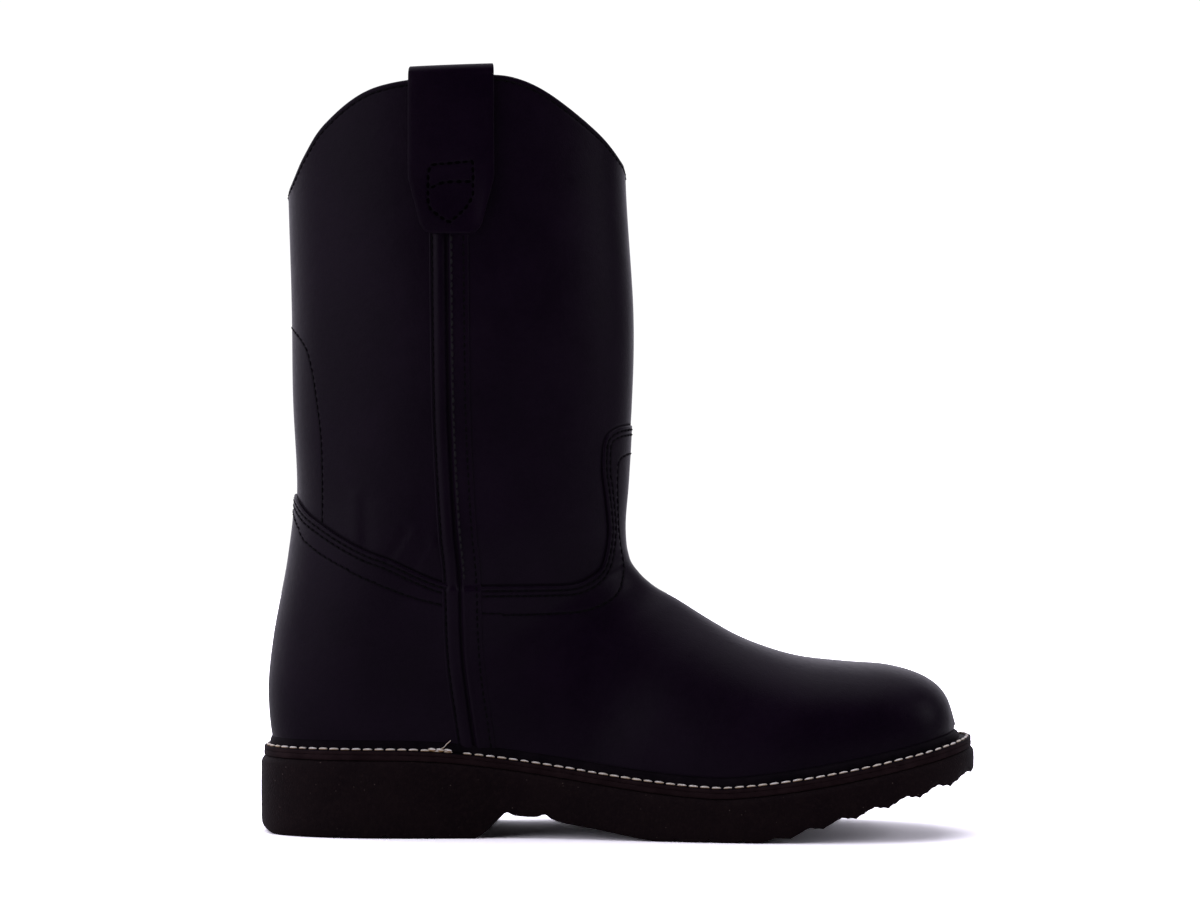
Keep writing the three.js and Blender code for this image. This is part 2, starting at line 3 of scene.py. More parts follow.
import bpy
import numpy as np
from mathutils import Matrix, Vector


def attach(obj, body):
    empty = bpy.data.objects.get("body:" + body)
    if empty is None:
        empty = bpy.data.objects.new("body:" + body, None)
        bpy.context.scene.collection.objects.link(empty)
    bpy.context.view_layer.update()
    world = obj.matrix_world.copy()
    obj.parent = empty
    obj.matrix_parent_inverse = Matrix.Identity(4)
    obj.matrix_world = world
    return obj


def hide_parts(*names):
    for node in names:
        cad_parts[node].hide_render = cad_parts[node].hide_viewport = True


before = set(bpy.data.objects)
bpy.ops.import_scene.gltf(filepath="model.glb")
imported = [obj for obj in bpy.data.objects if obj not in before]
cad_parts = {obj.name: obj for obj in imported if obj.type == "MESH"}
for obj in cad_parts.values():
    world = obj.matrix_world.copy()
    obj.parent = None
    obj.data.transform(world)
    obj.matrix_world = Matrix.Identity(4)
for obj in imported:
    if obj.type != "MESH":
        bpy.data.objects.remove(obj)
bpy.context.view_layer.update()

# Pull-on work boot, left foot. Its form is worked out in millimetres, +X to the toe, +Y to the
# outer side, +Z up, in the source's own place, and moved into the frame's metres at the end.
MM = 0.001
MOVED = np.array([0.757, 0.626, 0.0])

# Sizes of the last
FOOT_LENGTH = 292
BALL_WIDTH = 96
SHAFT_WIDTH = 86
INSTEP_HEIGHT = 100
SHAFT_RISE = 184
COLLAR_DIP = 50

# Sizes of the sole
HEEL_STACK = 37
BALL_STACK = 22.2
TOE_RISE = 18.8
TOE_LIFT = 28.5
ARCH_HEIGHT = 10.5
WELT_THICKNESS = 1.8
MIDSOLE_THICKNESS = 2.1
INSOLE_THICKNESS = 4
FLANGE_WIDTH = 6.2
RIDGE_WIDTH = 3.4
RIDGE_HEIGHT = 4.2
OUTSOLE_LEDGE = 1.2
LUG_PITCH = 13.6
LUG_RISER = 7.4
GROOVE_DEPTH = 1
GROOVE_WIDTH = 2.6

# Sizes of the leather
WALL = 2.4
OVERLAY = 1
SEAM_WIDTH = 16.6
STRAP_WIDTH = 35.5
STRAP_THICKNESS = 2.2
STRAP_OUTSIDE = 71
STRAP_INSIDE = 48
STRAP_TAPER = 24
STRAP_END_WIDTH = 24
STRAP_SLACK = 0.7
STRAP_CENTRE = -0.2404
GAP = 0.3

UP = (0.0, 0.0, 1.0)
HALVINGS = 40
SEEN_START = -30.0
SEEN_ROUNDS = 6

# Sections of the last, from above the collar to the toe tip, as shares of the sizes above
SECTION_COLUMNS = [
    "backX", "backFoot", "backShaft", "frontX", "frontFoot", "frontShaft",
    "halfFoot", "halfShaft", "shift", "lean", "widest", "low", "high",
]
SECTIONS = np.array([
    [-0.488, 1, 1.09, 0.008, 1, 1.15, 0, 0.5, 0, 0, 0.5, 2.05, 2.05],
    [-0.486, 1, 0.777, 0.01, 1, 0.837, 0, 0.5, 0, 0, 0.5, 2.05, 2.05],
    [-0.482, 1, 0.473, 0.022, 1, 0.534, 0, 0.5, 0, 0, 0.5, 2.05, 2.05],
    [-0.482, 1, 0.261, 0.022, 1, 0.31, 0, 0.494, 0, 0, 0.5, 2.05, 2.1],
    [-0.478, 1, 0.05, 0.0175, 1, 0.14, 0, 0.488, 0, 0, 0.49, 2.1, 2.1],
    [-0.4875, 0.8, 0, 0.013, 1, 0.043, 0.1, 0.372, 0, 0, 0.48, 2.15, 2.1],
    [-0.508, 0.46, 0, 0.014, 0.98, 0, 0.2, 0.24, 0.003, 0, 0.47, 2.2, 2.1],
    [-0.5145, 0.2, 0, 0.0175, 0.93, 0, 0.3, 0.11, 0.006, 0, 0.45, 2.3, 2.1],
    [-0.501, -0.05, 0, 0.0215, 0.9, 0, 0.378, 0, 0.008, 0, 0.43, 2.4, 2.05],
    [-0.448, -0.22, 0, 0.03, 0.87, 0, 0.367, 0, 0.01, 0.01, 0.42, 2.5, 2],
    [-0.36, -0.29, 0, 0.041, 0.84, 0, 0.36, 0, 0.016, 0.015, 0.42, 2.6, 1.95],
    [-0.247, -0.29, 0, 0.059, 0.805, 0, 0.366, 0, 0.028, 0.03, 0.42, 2.7, 1.9],
    [-0.13, -0.28, 0, 0.089, 0.765, 0, 0.394, 0, 0.036, 0.05, 0.42, 2.7, 1.9],
    [-0.007, -0.255, 0, 0.1335, 0.69, 0, 0.458, 0, 0.03, 0.06, 0.41, 2.7, 1.95],
    [0.11, -0.245, 0, 0.19, 0.592, 0, 0.496, 0, 0.012, 0.06, 0.4, 2.6, 2.05],
    [0.212, -0.23, 0, 0.26, 0.5, 0, 0.498, 0, -0.01, 0.04, 0.4, 2.5, 2.2],
    [0.308, -0.21, 0, 0.332, 0.438, 0, 0.462, 0, -0.036, 0.025, 0.41, 2.4, 2.3],
    [0.384, -0.175, 0, 0.397, 0.382, 0, 0.394, 0, -0.06, 0.01, 0.42, 2.35, 2.35],
    [0.442, -0.115, 0, 0.4485, 0.3, 0, 0.305, 0, -0.08, 0, 0.43, 2.3, 2.3],
    [0.4775, -0.05, 0, 0.4795, 0.2, 0, 0.176, 0, -0.092, 0, 0.45, 2.2, 2.2],
    [0.4945, 0.06, 0, 0.4945, 0.06, 0, 0, 0, -0.098, 0, 0.5, 2.1, 2.1],
])
LAST_ROW = len(SECTIONS) - 1


def spline(a, b, c, d, f):
    return b + 0.5 * f * (c - a + f * (2 * a - 5 * b + 4 * c - d + f * (3 * (b - c) + d - a)))


def smooth(points, count):
    """A smooth line through points."""
    points = np.asarray(points, float)
    last = len(points) - 1
    at = np.linspace(0, last, count + 1)
    i = np.minimum(at.astype(int), last - 1)
    near = [points[np.clip(i + k, 0, last)] for k in (-1, 0, 1, 2)]
    return spline(*near, (at - i)[:, None])


def smoothstep(value, low, high):
    share = np.clip((value - low) / (high - low), 0, 1)
    return share * share * (3 - 2 * share)


def side_line(points, count=60):
    """A line of the side view: along from the middle, up over the heel's welt line."""
    sizes = np.array([FOOT_LENGTH, INSTEP_HEIGHT])
    return smooth(np.array(points) * sizes + [0, HEEL_STACK], count)


VAMP_EDGE = side_line([
    (-0.2, 0.69), (-0.113, 0.69), (-0.071, 0.691), (-0.049, 0.706), (-0.026, 0.75),
    (-0.0165, 0.813), (-0.011, 0.907), (-0.0125, 0.988), (-0.0165, 1.082), (-0.0205, 1.163),
    (-0.021, 1.239), (-0.0185, 1.303), (-0.01, 1.34), (0.004, 1.362), (0.022, 1.372),
])
COUNTER_EDGE = side_line([
    (-0.482, 1.085), (-0.459, 1.005), (-0.433, 0.951), (-0.399, 0.89), (-0.363, 0.837),
    (-0.328, 0.8), (-0.291, 0.75), (-0.255, 0.708), (-0.225, 0.69),
])
SEAM_LINE = side_line([
    (-0.244, 2.2), (-0.2416, 1.52), (-0.238, 1.21), (-0.232, 0.916), (-0.2262, 0.74),
    (-0.2244, 0.5), (-0.2207, 0.335), (-0.2103, 0.113), (-0.2, -0.1),
])
COLLAR_TOP = HEEL_STACK + INSTEP_HEIGHT + SHAFT_RISE
COLLAR = smooth([
    (along * FOOT_LENGTH, COLLAR_TOP - drop * COLLAR_DIP) for along, drop in [
        (-0.53, 1.25), (-0.4856, 0.93), (-0.459, 0.65), (-0.4247, 0.38), (-0.356, 0.11),
        (-0.25, 0.01), (-0.2, 0), (-0.15, 0.02), (-0.098, 0.15), (-0.029, 0.455),
        (0.005, 0.68), (0.012, 0.76), (0.05, 1.05),
    ]
], 90)
ARCH = np.array([
    (-0.205, 0), (-0.188, 0.35), (-0.172, 0.8), (-0.161, 1.05), (-0.149, 0.92), (-0.12, 0.87),
    (-0.106, 0.97), (-0.096, 0.79), (-0.077, 0.62), (-0.027, 0.39), (0.02, 0.14), (0.05, 0),
]) * [FOOT_LENGTH, ARCH_HEIGHT]

WELT_LINE = {"heel": -0.325, "ball": 0.171, "spring": 0.137, "tip": 0.503, "power": 1.45}


def welt_height(x):
    along = np.asarray(x, float) / FOOT_LENGTH
    fall = smoothstep(along, WELT_LINE["heel"], WELT_LINE["ball"])
    reach = (along - WELT_LINE["spring"]) / (WELT_LINE["tip"] - WELT_LINE["spring"])
    rise = np.maximum(0, reach) ** WELT_LINE["power"]
    return HEEL_STACK - (HEEL_STACK - BALL_STACK) * fall + TOE_RISE * rise


def over_welt(point):
    return point[..., 2] - welt_height(point[..., 0])


def column(name, t):
    """The value of one column of the section table at t, which counts rows."""
    values = SECTIONS[:, SECTION_COLUMNS.index(name)]
    i = np.minimum(np.floor(t).astype(int), LAST_ROW - 1)
    near = [values[np.clip(i + k, 0, LAST_ROW)] for k in (-1, 0, 1, 2)]
    return spline(*near, t - i)


def end_of(side, t):
    x = column(side + "X", t) * FOOT_LENGTH
    foot = column(side + "Foot", t) * INSTEP_HEIGHT
    shaft = column(side + "Shaft", t) * SHAFT_RISE
    return np.stack([x, welt_height(x) + foot + shaft], -1)


def bare_skin(t, angle):
    """A point of the outer skin. angle is 0 at the front point, half a turn at the back point."""
    back, front = end_of("back", t), end_of("front", t)
    half = column("halfFoot", t) * BALL_WIDTH + column("halfShaft", t) * SHAFT_WIDTH
    widest = column("widest", t)
    to_front, side = np.cos(angle), np.sin(angle)
    ahead = to_front > 0
    power = 2 / np.where(ahead, column("high", t), column("low", t))
    room = np.where(ahead, 1 - widest, widest)
    along = widest + np.sign(to_front) * room * np.abs(to_front) ** power
    in_side = back + (front - back) * along[..., None]
    across = np.sign(side) * half * np.abs(side) ** power
    lean = column("lean", t) * BALL_WIDTH * np.maximum(0, to_front) ** 2
    y = column("shift", t) * BALL_WIDTH + across - lean
    return np.stack([in_side[..., 0], y, in_side[..., 1]], -1)


def unit(v):
    return v / np.maximum(np.linalg.norm(v, axis=-1, keepdims=True), 1e-9)


STEP = 0.004


def bare_outward(t, angle):
    low, high = np.maximum(0, t - STEP), np.minimum(LAST_ROW - STEP, t + STEP)
    down = bare_skin(high, angle) - bare_skin(low, angle)
    around = bare_skin(t, angle + STEP) - bare_skin(t, angle - STEP)
    return unit(np.cross(down, around))


# The photograph's camera, and where its picture points lie on the boot's inner side
PICTURE = {"width": 1200, "height": 900}
SENSOR = 36
LENS = 105.6
CAMERA = np.array([-7.8, -1517, 163.5])
FOCAL_PIXELS = LENS / SENSOR * PICTURE["width"]


def locate(x, z):
    """Row and angle, without its sign, of the skin at points of the side view."""
    low, high = np.zeros_like(x), np.full_like(x, LAST_ROW - 0.001)
    for _ in range(HALVINGS):
        middle = (low + high) / 2
        back, front = end_of("back", middle), end_of("front", middle)
        chord = front - back
        turn = chord[..., 0] * (z - back[..., 1]) - chord[..., 1] * (x - back[..., 0])
        below = turn < 0
        low, high = np.where(below, middle, low), np.where(below, high, middle)
    back, front = end_of("back", low), end_of("front", low)
    chord = front - back
    offset = np.stack([x, z], -1) - back
    share = np.clip((offset * chord).sum(-1) / (chord * chord).sum(-1), 0, 1)
    widest = column("widest", low)
    ahead = share > widest
    r = np.where(ahead, (share - widest) / (1 - widest), (widest - share) / widest)
    to_front = r ** (np.where(ahead, column("high", low), column("low", low)) / 2)
    return low, np.arccos(np.where(ahead, to_front, -to_front))


def seen(pixels):
    """Side view points of picture points on the boot's inner side, found in a few rounds."""
    pixels = np.asarray(pixels, float)
    y = np.full(len(pixels), SEEN_START)
    for _ in range(SEEN_ROUNDS):
        scale = (y - CAMERA[1]) / FOCAL_PIXELS
        x = CAMERA[0] + (pixels[:, 0] - PICTURE["width"] / 2) * scale
        z = CAMERA[2] - (pixels[:, 1] - PICTURE["height"] / 2) * scale
        t, angle = locate(x, z)
        y = bare_skin(t, -angle)[:, 1]
    return np.stack([x, z], -1)


# Soft relief of the leather, calm near the welt. Each wave has its lengths along X, Y and Z, its
# phase and its height. Each crease is laid over the picture: both ends, depth and width.
UNEVEN = [(61, 47, 83, 0.4, 0.22), (37, 71, -52, 1.9, 0.12), (143, 90, 97, 2.6, 0.3)]
CALM = {"low": 2, "high": 22}
CREASES = [
    (353, 498, 354, 541, -0.34, 2.4), (364, 500, 366, 544, 0.3, 3.0), (407, 530, 388, 560, 0.42, 1.5),
    (414, 533, 396, 562, -0.16, 2.0), (428, 544, 413, 570, 0.34, 1.8), (436, 545, 421, 571, -0.5, 1.8),
    (330, 440, 338, 505, 0.2, 6), (384, 300, 392, 470, 0.2, 14), (520, 420, 580, 520, 0.2, 16),
    (500, 300, 560, 330, -0.2, 16), (640, 575, 690, 620, 0.2, 9),
]


def segment_distance(points, start, end):
    way = end - start
    share = np.clip(((points - start) @ way) / (way @ way), 0, 1)
    return np.linalg.norm(points - start - share[..., None] * way, axis=-1)


CREASE_LINES = [(*seen([row[:2], row[2:4]]), *row[4:]) for row in CREASES]


def relief(point):
    height = np.zeros(point.shape[:-1])
    for long_x, long_y, long_z, phase, size in UNEVEN:
        wave = point[..., 0] / long_x + point[..., 1] / long_y + point[..., 2] / long_z
        height += size * np.sin(2 * wave + phase)
    in_side = point[..., [0, 2]]
    for start, end, depth, width in CREASE_LINES:
        height -= depth * np.exp(-(segment_distance(in_side, start, end) / width) ** 2)
    return height * smoothstep(over_welt(point), **CALM)


def surface(t, angle):
    """The leather's skin with its relief, and its outward direction."""
    point, out = bare_skin(t, angle), bare_outward(t, angle)
    return point + out * relief(point)[..., None], out


SUNK = {"low": 2, "high": 4.5}


def sunk(t):
    """Under vamp and counter the wall lies lower by their thickness."""
    return (GAP + OVERLAY) * smoothstep(t, **SUNK)


def wall_at(x, z, side):
    """The wall's outer face at a point of the side view, and its direction there."""
    t, angle = locate(x, z)
    point, out = surface(t, side * angle)
    return point - out * sunk(t)[..., None], out


# Meshes made of triangles, with named values at their points
class Patch:
    def __init__(self, triangles, **data):
        self.triangles = triangles
        self.data = data

    def shown(self, kept):
        """The patch with only these triangles."""
        used, index = np.unique(self.triangles[kept], return_inverse=True)
        data = {key: value[used] for key, value in self.data.items()}
        return Patch(index.reshape(-1, 3), **data)

    def above(self, name, level=0.0):
        return self.shown(self.data[name][self.triangles].mean(1) > level)


TINY = 1e-4
SHORTEST = 4


def crossed_edges(patch, name, level):
    """The triangles that a line of equal value crosses, and where it cuts their edges."""
    value = patch.data[name] - level
    value = np.where(np.abs(value) < TINY, TINY, value)
    up = value > 0
    count = up[patch.triangles].sum(1)
    crossed = (count == 1) | (count == 2)
    cut = patch.triangles[crossed]
    odd = np.argmax(up[cut] == (count[crossed] == 1)[:, None], axis=1)
    row = np.arange(len(cut))
    corners = [cut[row, (odd + k) % 3] for k in range(3)]
    pairs = np.concatenate([np.stack([corners[0], corners[k]], 1) for k in (1, 2)])
    pairs.sort(axis=1)
    edges, index = np.unique(pairs, axis=0, return_inverse=True)
    first, second = value[edges[:, 0]], value[edges[:, 1]]
    index = index.ravel()
    return crossed, corners, edges, first / (first - second), index[: len(cut)], index[len(cut):]


def between(values, edges, share):
    share = share.reshape(-1, *[1] * (values.ndim - 1))
    return values[edges[:, 0]] * (1 - share) + values[edges[:, 1]] * share


def split(patch, name, level=0.0):
    """Cuts the triangles along a line of equal value."""
    crossed, (a, b, c), edges, share, near, far = crossed_edges(patch, name, level)
    base = len(patch.data[name])
    data = {
        key: np.concatenate([value, between(value, edges, share)])
        for key, value in patch.data.items()
    }
    data[name][base:] = level
    m, n = base + near, base + far
    parts = [np.stack(corners, 1) for corners in ((a, m, n), (m, b, c), (m, c, n))]
    return Patch(np.concatenate([patch.triangles[~crossed], *parts]), **data)


def trimmed(patch, name, level=0.0):
    """What lies above a line of equal value."""
    return split(patch, name, level).above(name, level)


def lines_of(patch, name, level=0.0):
    """Chains of points and directions along a line of equal value."""
    _, _, edges, share, near, far = crossed_edges(patch, name, level)
    points = between(patch.data["place"], edges, share)
    directions = unit(between(patch.data["out"], edges, share))
    links = [[] for _ in edges]
    for p, q in zip(near.tolist(), far.tolist()):
        links[p].append(q)
        links[q].append(p)
    ends = [k for k, found in enumerate(links) if len(found) == 1]
    seen_before = set()
    chains = []
    for start in ends + list(range(len(links))):
        if start in seen_before:
            continue
        chain = [start]
        seen_before.add(start)
        while True:
            ahead = [k for k in links[chain[-1]] if k not in seen_before]
            if not ahead:
                break
            chain.append(ahead[0])
            seen_before.add(ahead[0])
        if start in links[chain[-1]] and len(chain) > 2:
            chain.append(start)
        if len(chain) >= SHORTEST:
            chains.append((points[chain], directions[chain]))
    return chains


def grid_triangles(index):
    """Triangles over a grid of point numbers, facing down-the-rows cross along-the-columns."""
    a, b, c, d = index[:-1, :-1], index[1:, :-1], index[1:, 1:], index[:-1, 1:]
    both = [np.stack([a, b, c], -1).reshape(-1, 3), np.stack([a, c, d], -1).reshape(-1, 3)]
    triangles = np.concatenate(both)
    flat = (triangles[:, 0] == triangles[:, 1]) | (triangles[:, 1] == triangles[:, 2])
    return triangles[~(flat | (triangles[:, 0] == triangles[:, 2]))]


def around_grid(index):
    """Point numbers with the first column once more at the end, which closes the rings."""
    return np.concatenate([index, index[:, :1]], axis=1)


def lengths_along(line):
    steps = np.linalg.norm(np.diff(line, axis=0), axis=1)
    return np.concatenate([[0], np.cumsum(steps)])


def read_at(values, lengths, at):
    """Rows of values where the length along their line is at."""
    return np.stack([np.interp(at, lengths, each) for each in values.T], 1)


def below_rim(triangles, base):
    """A skirt from the open rim of a mesh down to its copy, whose points are numbered from base."""
    edges = np.concatenate([triangles[:, [k, (k + 1) % 3]] for k in range(3)])
    _, first, count = np.unique(np.sort(edges, axis=1), axis=0, return_index=True, return_counts=True)
    near, far = edges[first[count == 1]].T
    return np.concatenate([
        np.stack([far, near, near + base], 1), np.stack([far, near + base, far + base], 1),
    ])


def add_piece(name, places, triangles, material, nodes=(), slot="black_leather", data=None):
    """Makes a mesh object from millimetres, which rides on the boot."""
    mesh = bpy.data.meshes.new(name)
    mesh.from_pydata(((places + MOVED) * MM).tolist(), [], triangles.tolist())
    for key, value in (data or {}).items():
        mesh.attributes.new(key, "FLOAT", "POINT").data.foreach_set("value", value.astype(np.float32))
    mesh.polygons.foreach_set("use_smooth", np.ones(len(triangles), bool))
    mesh.materials.append(material)
    mesh.update()
    piece = bpy.data.objects.new(name, mesh)
    bpy.context.scene.collection.objects.link(piece)
    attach(piece, "root")
    if nodes:
        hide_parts(*nodes)


# Materials
class Nodes:
    """A node tree and short ways to add and join its nodes."""

    def __init__(self, tree):
        self.tree = tree

    def feed(self, socket, value):
        """Joins an output to a socket, or sets it to a number, a vector or a colour."""
        if isinstance(value, bpy.types.NodeSocket):
            self.tree.links.new(value, socket)
        elif socket.type == "RGBA":
            socket.default_value = (*value, 1)
        else:
            socket.default_value = value

    def node(self, kind, inputs=None, **settings):
        made = self.tree.nodes.new(kind)
        for key, value in settings.items():
            setattr(made, key, value)
        for key, value in (inputs or {}).items():
            self.feed(made.inputs[key], value)
        return made

    def math(self, operation, *values):
        return self.node("ShaderNodeMath", dict(enumerate(values)), operation=operation).outputs[0]

    def ramp(self, value, low, high, out_low=0.0, out_high=1.0):
        ends = {"From Min": low, "From Max": high, "To Min": out_low, "To Max": out_high}
        made = self.node("ShaderNodeMapRange", {"Value": value, **ends}, interpolation_type="SMOOTHSTEP")
        return made.outputs["Result"]

    def mix(self, share, a, b):
        """The first colour where the share is 0, the second where it is 1."""
        return self.node("ShaderNodeMix", {0: share, 6: a, 7: b}, data_type="RGBA").outputs[2]

    def show(self, output, others, camera):
        """Ends the tree with one shader for the camera's own rays, and one for all others."""
        own = self.node("ShaderNodeLightPath").outputs["Is Camera Ray"]
        both = self.node("ShaderNodeMixShader", {0: own, 1: others, 2: camera})
        self.feed(self.tree.nodes[output].inputs["Surface"], both.outputs[0])


class Surface(Nodes):
    """A material with one main shader."""

    def __init__(self, name, colour, roughness, specular=0.5):
        self.material = bpy.data.materials.new(name)
        self.material.use_nodes = True
        super().__init__(self.material.node_tree)
        self.shader = self.tree.nodes["Principled BSDF"]
        self.set("Base Color", colour)
        self.set("Roughness", roughness)
        self.set("Specular IOR Level", specular)
        self.place = self.node("ShaderNodeTexCoord").outputs["Object"]

    def set(self, socket, value):
        self.feed(self.shader.inputs[socket], value)

    def noise(self, size, detail=3.0, roughness=0.55, distortion=0.0):
        """Noise whose blots are about this many millimetres across."""
        inputs = {
            "Vector": self.place, "Scale": 1 / (size * MM), "Detail": detail,
            "Roughness": roughness, "Distortion": distortion,
        }
        return self.node("ShaderNodeTexNoise", inputs).outputs["Fac"]

    def cells(self, size):
        inputs = {"Vector": self.place, "Scale": 1 / (size * MM)}
        return self.node("ShaderNodeTexVoronoi", inputs).outputs["Distance"]

    def value(self, name):
        return self.node("ShaderNodeAttribute", attribute_name=name).outputs["Fac"]

    def bump(self, height, distance, strength=1.0, below=None):
        """Relief of this many millimetres, laid over what is below."""
        inputs = {"Height": height, "Distance": distance * MM, "Strength": strength}
        if below is not None:
            inputs["Normal"] = below
        return self.node("ShaderNodeBump", inputs).outputs["Normal"]


BLACK = (0.0036, 0.0006, 0.0050)
BLACK_WORN = (0.0058, 0.0018, 0.0076)
# Painted shade: the colour laid along stitch rows, grooves and the lines beside overlay edges.
PAINTED_ROW_SHADE = (0.0006, 0.0001, 0.0008)


# The painted shade along rows: its width, the least share of the leather's own colour in it, and the added
# roughness.
ROW_SHADE = {"width": 0.95, "least": 0.4, "dull": 0.5}
ROW_DIP = {"width": 1.3, "depth": 0.14}


def groove_by(surface, rows, width):
    """A height that dips along lines at the given values of named distances; it also serves as the mask of
    the painted shade along them.
    """
    total = None
    for name, values in rows:
        for value in values:
            off = surface.math("ABSOLUTE", surface.math("SUBTRACT", surface.value(name), value))
            dip = surface.ramp(off, 0, width)
            total = dip if total is None else surface.math("MINIMUM", total, dip)
    return total


def leather(name, rows=(), gloss=0.42, shine=0.07):
    """Smooth black leather. rows are pairs of a distance's name and where it has stitch lines, grooves or
    edge lines; along them its colour is painted darker, a painted shade, and it is rougher and dips.
    """
    made = Surface(name, BLACK, gloss, shine)
    blots, fine = made.noise(38, 4, 0.6), made.noise(2.4, 5, 0.65)
    tone = made.mix(made.ramp(blots, 0.32, 0.72), BLACK, BLACK_WORN)
    uneven = made.math("ADD", made.math("MULTIPLY", blots, 0.12), made.math("MULTIPLY", fine, 0.16))
    dull = made.math("ADD", uneven, gloss - 0.14)
    if rows:
        # Painted shade: the colour darkens towards the rows.
        near = made.ramp(groove_by(made, rows, ROW_SHADE["width"]), 0, 1, ROW_SHADE["least"])
        tone = made.mix(near, PAINTED_ROW_SHADE, tone)
        in_row = made.math("SUBTRACT", 1.0, near)
        dull = made.math("ADD", dull, made.math("MULTIPLY", in_row, ROW_SHADE["dull"]))
    made.set("Base Color", tone)
    made.set("Roughness", dull)
    pores = made.ramp(made.cells(0.95), 0.0, 0.42)
    normal = made.bump(pores, 0.045, 0.7)
    normal = made.bump(made.noise(0.55, 4), 0.05, 0.7, normal)
    normal = made.bump(made.noise(6.5, 4, 0.6, 0.4), 0.16, 0.8, normal)
    if rows:
        normal = made.bump(groove_by(made, rows, ROW_DIP["width"]), ROW_DIP["depth"], 0.8, normal)
    made.set("Normal", normal)
    return made.material


def soft_leather(name, roughness, blots, tones, fibre):
    """Plain inner leather. blots are its noise, tones its colours and fibre its size and height."""
    made = Surface(name, tones[0], roughness, 0.3)
    shade = made.ramp(made.noise(*blots), 0.3, 0.7)
    made.set("Base Color", made.mix(shade, *tones))
    size, height = fibre
    made.set("Normal", made.bump(made.noise(size, 5, 0.7), height, 0.8))
    return made.material


def lining():
    tones = (0.016, 0.014, 0.014), (0.034, 0.028, 0.026)
    return soft_leather("leather_lining", 0.72, (16, 5, 0.6), tones, (0.9, 0.09))


def footbed_leather():
    tones = (0.036, 0.027, 0.021), (0.062, 0.048, 0.038)
    return soft_leather("footbed_leather", 0.8, (26, 4), tones, (0.8, 0.1))


def thread(name, colour, worn, roughness, twist, specular=0.3, below=None):
    """Twisted thread. below is the colour painted on its downward-facing side, darker and warmer: a painted
    shade.
    """
    made = Surface(name, colour, roughness, specular)
    tone = made.mix(made.ramp(made.noise(3.2, 3), 0.35, 0.7), colour, worn)
    # Painted shade: the thread's colour turns to below where its surface faces down.
    if below:
        normal = made.node("ShaderNodeNewGeometry").outputs["Normal"]
        upward = made.node("ShaderNodeSeparateXYZ", {0: normal}).outputs["Z"]
        tone = made.mix(made.ramp(upward, -0.35, 0.45), below, tone)
    made.set("Base Color", tone)
    waves = {"Vector": made.place, "Scale": 1 / (twist * MM), "Distortion": 1.5}
    strands = made.node("ShaderNodeTexWave", waves, bands_direction="DIAGONAL").outputs["Fac"]
    made.set("Normal", made.bump(strands, 0.10, 0.8))
    return made.material


def foam_rubber():
    """Blown rubber: cloudy, grainy, with rare pale specks."""
    made = Surface("blown_rubber", (0.006, 0.0026, 0.0036), 0.72, 0.075)
    made.set("Sheen Weight", 0.012)
    cloud = made.ramp(made.noise(21, 4, 0.6), 0.3, 0.72)
    tone = made.mix(cloud, (0.0038, 0.0009, 0.0019), (0.0068, 0.0026, 0.0034))
    grainy = made.ramp(made.noise(1.7, 4, 0.75), 0.46, 0.68)
    tone = made.mix(made.math("MULTIPLY", grainy, 0.5), tone, (0.0125, 0.0062, 0.0062))
    rare = made.ramp(made.noise(9, 2), 0.5, 0.64)
    specks = made.math("MULTIPLY", made.ramp(made.cells(2.9), 0.11, 0.04), rare)
    tone = made.mix(made.math("MULTIPLY", specks, 0.7), tone, (0.13, 0.10, 0.085))
    made.set("Base Color", tone)
    normal = made.bump(made.ramp(made.cells(1.15), 0.0, 0.5), 0.16, 0.75)
    made.set("Normal", made.bump(made.noise(0.7, 4, 0.7), 0.14, 0.7, normal))
    return made.material


EDGE_DARK = (0.0088, 0.0036, 0.0046)
EDGE_LIGHT = (0.0180, 0.0092, 0.0104)
WELT_DARK = (0.0016, 0.0004, 0.0020)
WELT_LIGHT = (0.0046, 0.0025, 0.0046)
FLAT_FIBRES = (1, 1, 7)


def cut_edge(name, has_top=False):
    """The trimmed and inked edge of a leather layer, darker where its top is."""
    made = Surface(name, EDGE_DARK, 0.68, 0.05)
    cloud = made.ramp(made.noise(9, 4, 0.65), 0.3, 0.75)
    tone = made.mix(cloud, EDGE_DARK, EDGE_LIGHT)
    if has_top:
        tone = made.mix(made.value("top"), tone, made.mix(cloud, WELT_DARK, WELT_LIGHT))
    made.set("Base Color", tone)
    fibres = made.node("ShaderNodeMapping", {"Vector": made.place, "Scale": FLAT_FIBRES}).outputs[0]
    streaks = made.node("ShaderNodeTexNoise", {"Vector": fibres, "Scale": 900, "Detail": 3.0})
    made.set("Normal", made.bump(streaks.outputs["Fac"], 0.12, 0.7))
    return made.material


# The base grid of the skin, from above the collar to the toe
AROUND = 232
ROW_SPACING = 1.55
WIDEST_COUNTS = 0.55
LAID_WITHIN = 0.5


def rows_evenly(spacing):
    """Rows of the section table, about this far apart on the skin."""
    fine = np.linspace(0, LAST_ROW, 3001)
    gaps = [
        np.linalg.norm(np.diff(bare_skin(fine, np.full_like(fine, turn)), axis=0), axis=1)
        for turn in (0, math.pi / 2, math.pi)
    ]
    gap = WIDEST_COUNTS * np.max(gaps, axis=0) + (1 - WIDEST_COUNTS) * np.mean(gaps, axis=0)
    total = np.concatenate([[0], np.cumsum(gap)])
    return np.interp(np.linspace(0, total[-1], int(total[-1] / spacing)), total, fine)


def distance_to(line, point):
    found = np.full(point.shape[:-1], np.inf)
    for start, end in zip(line[:-1], line[1:]):
        found = np.minimum(found, segment_distance(point, start, end))
    return found


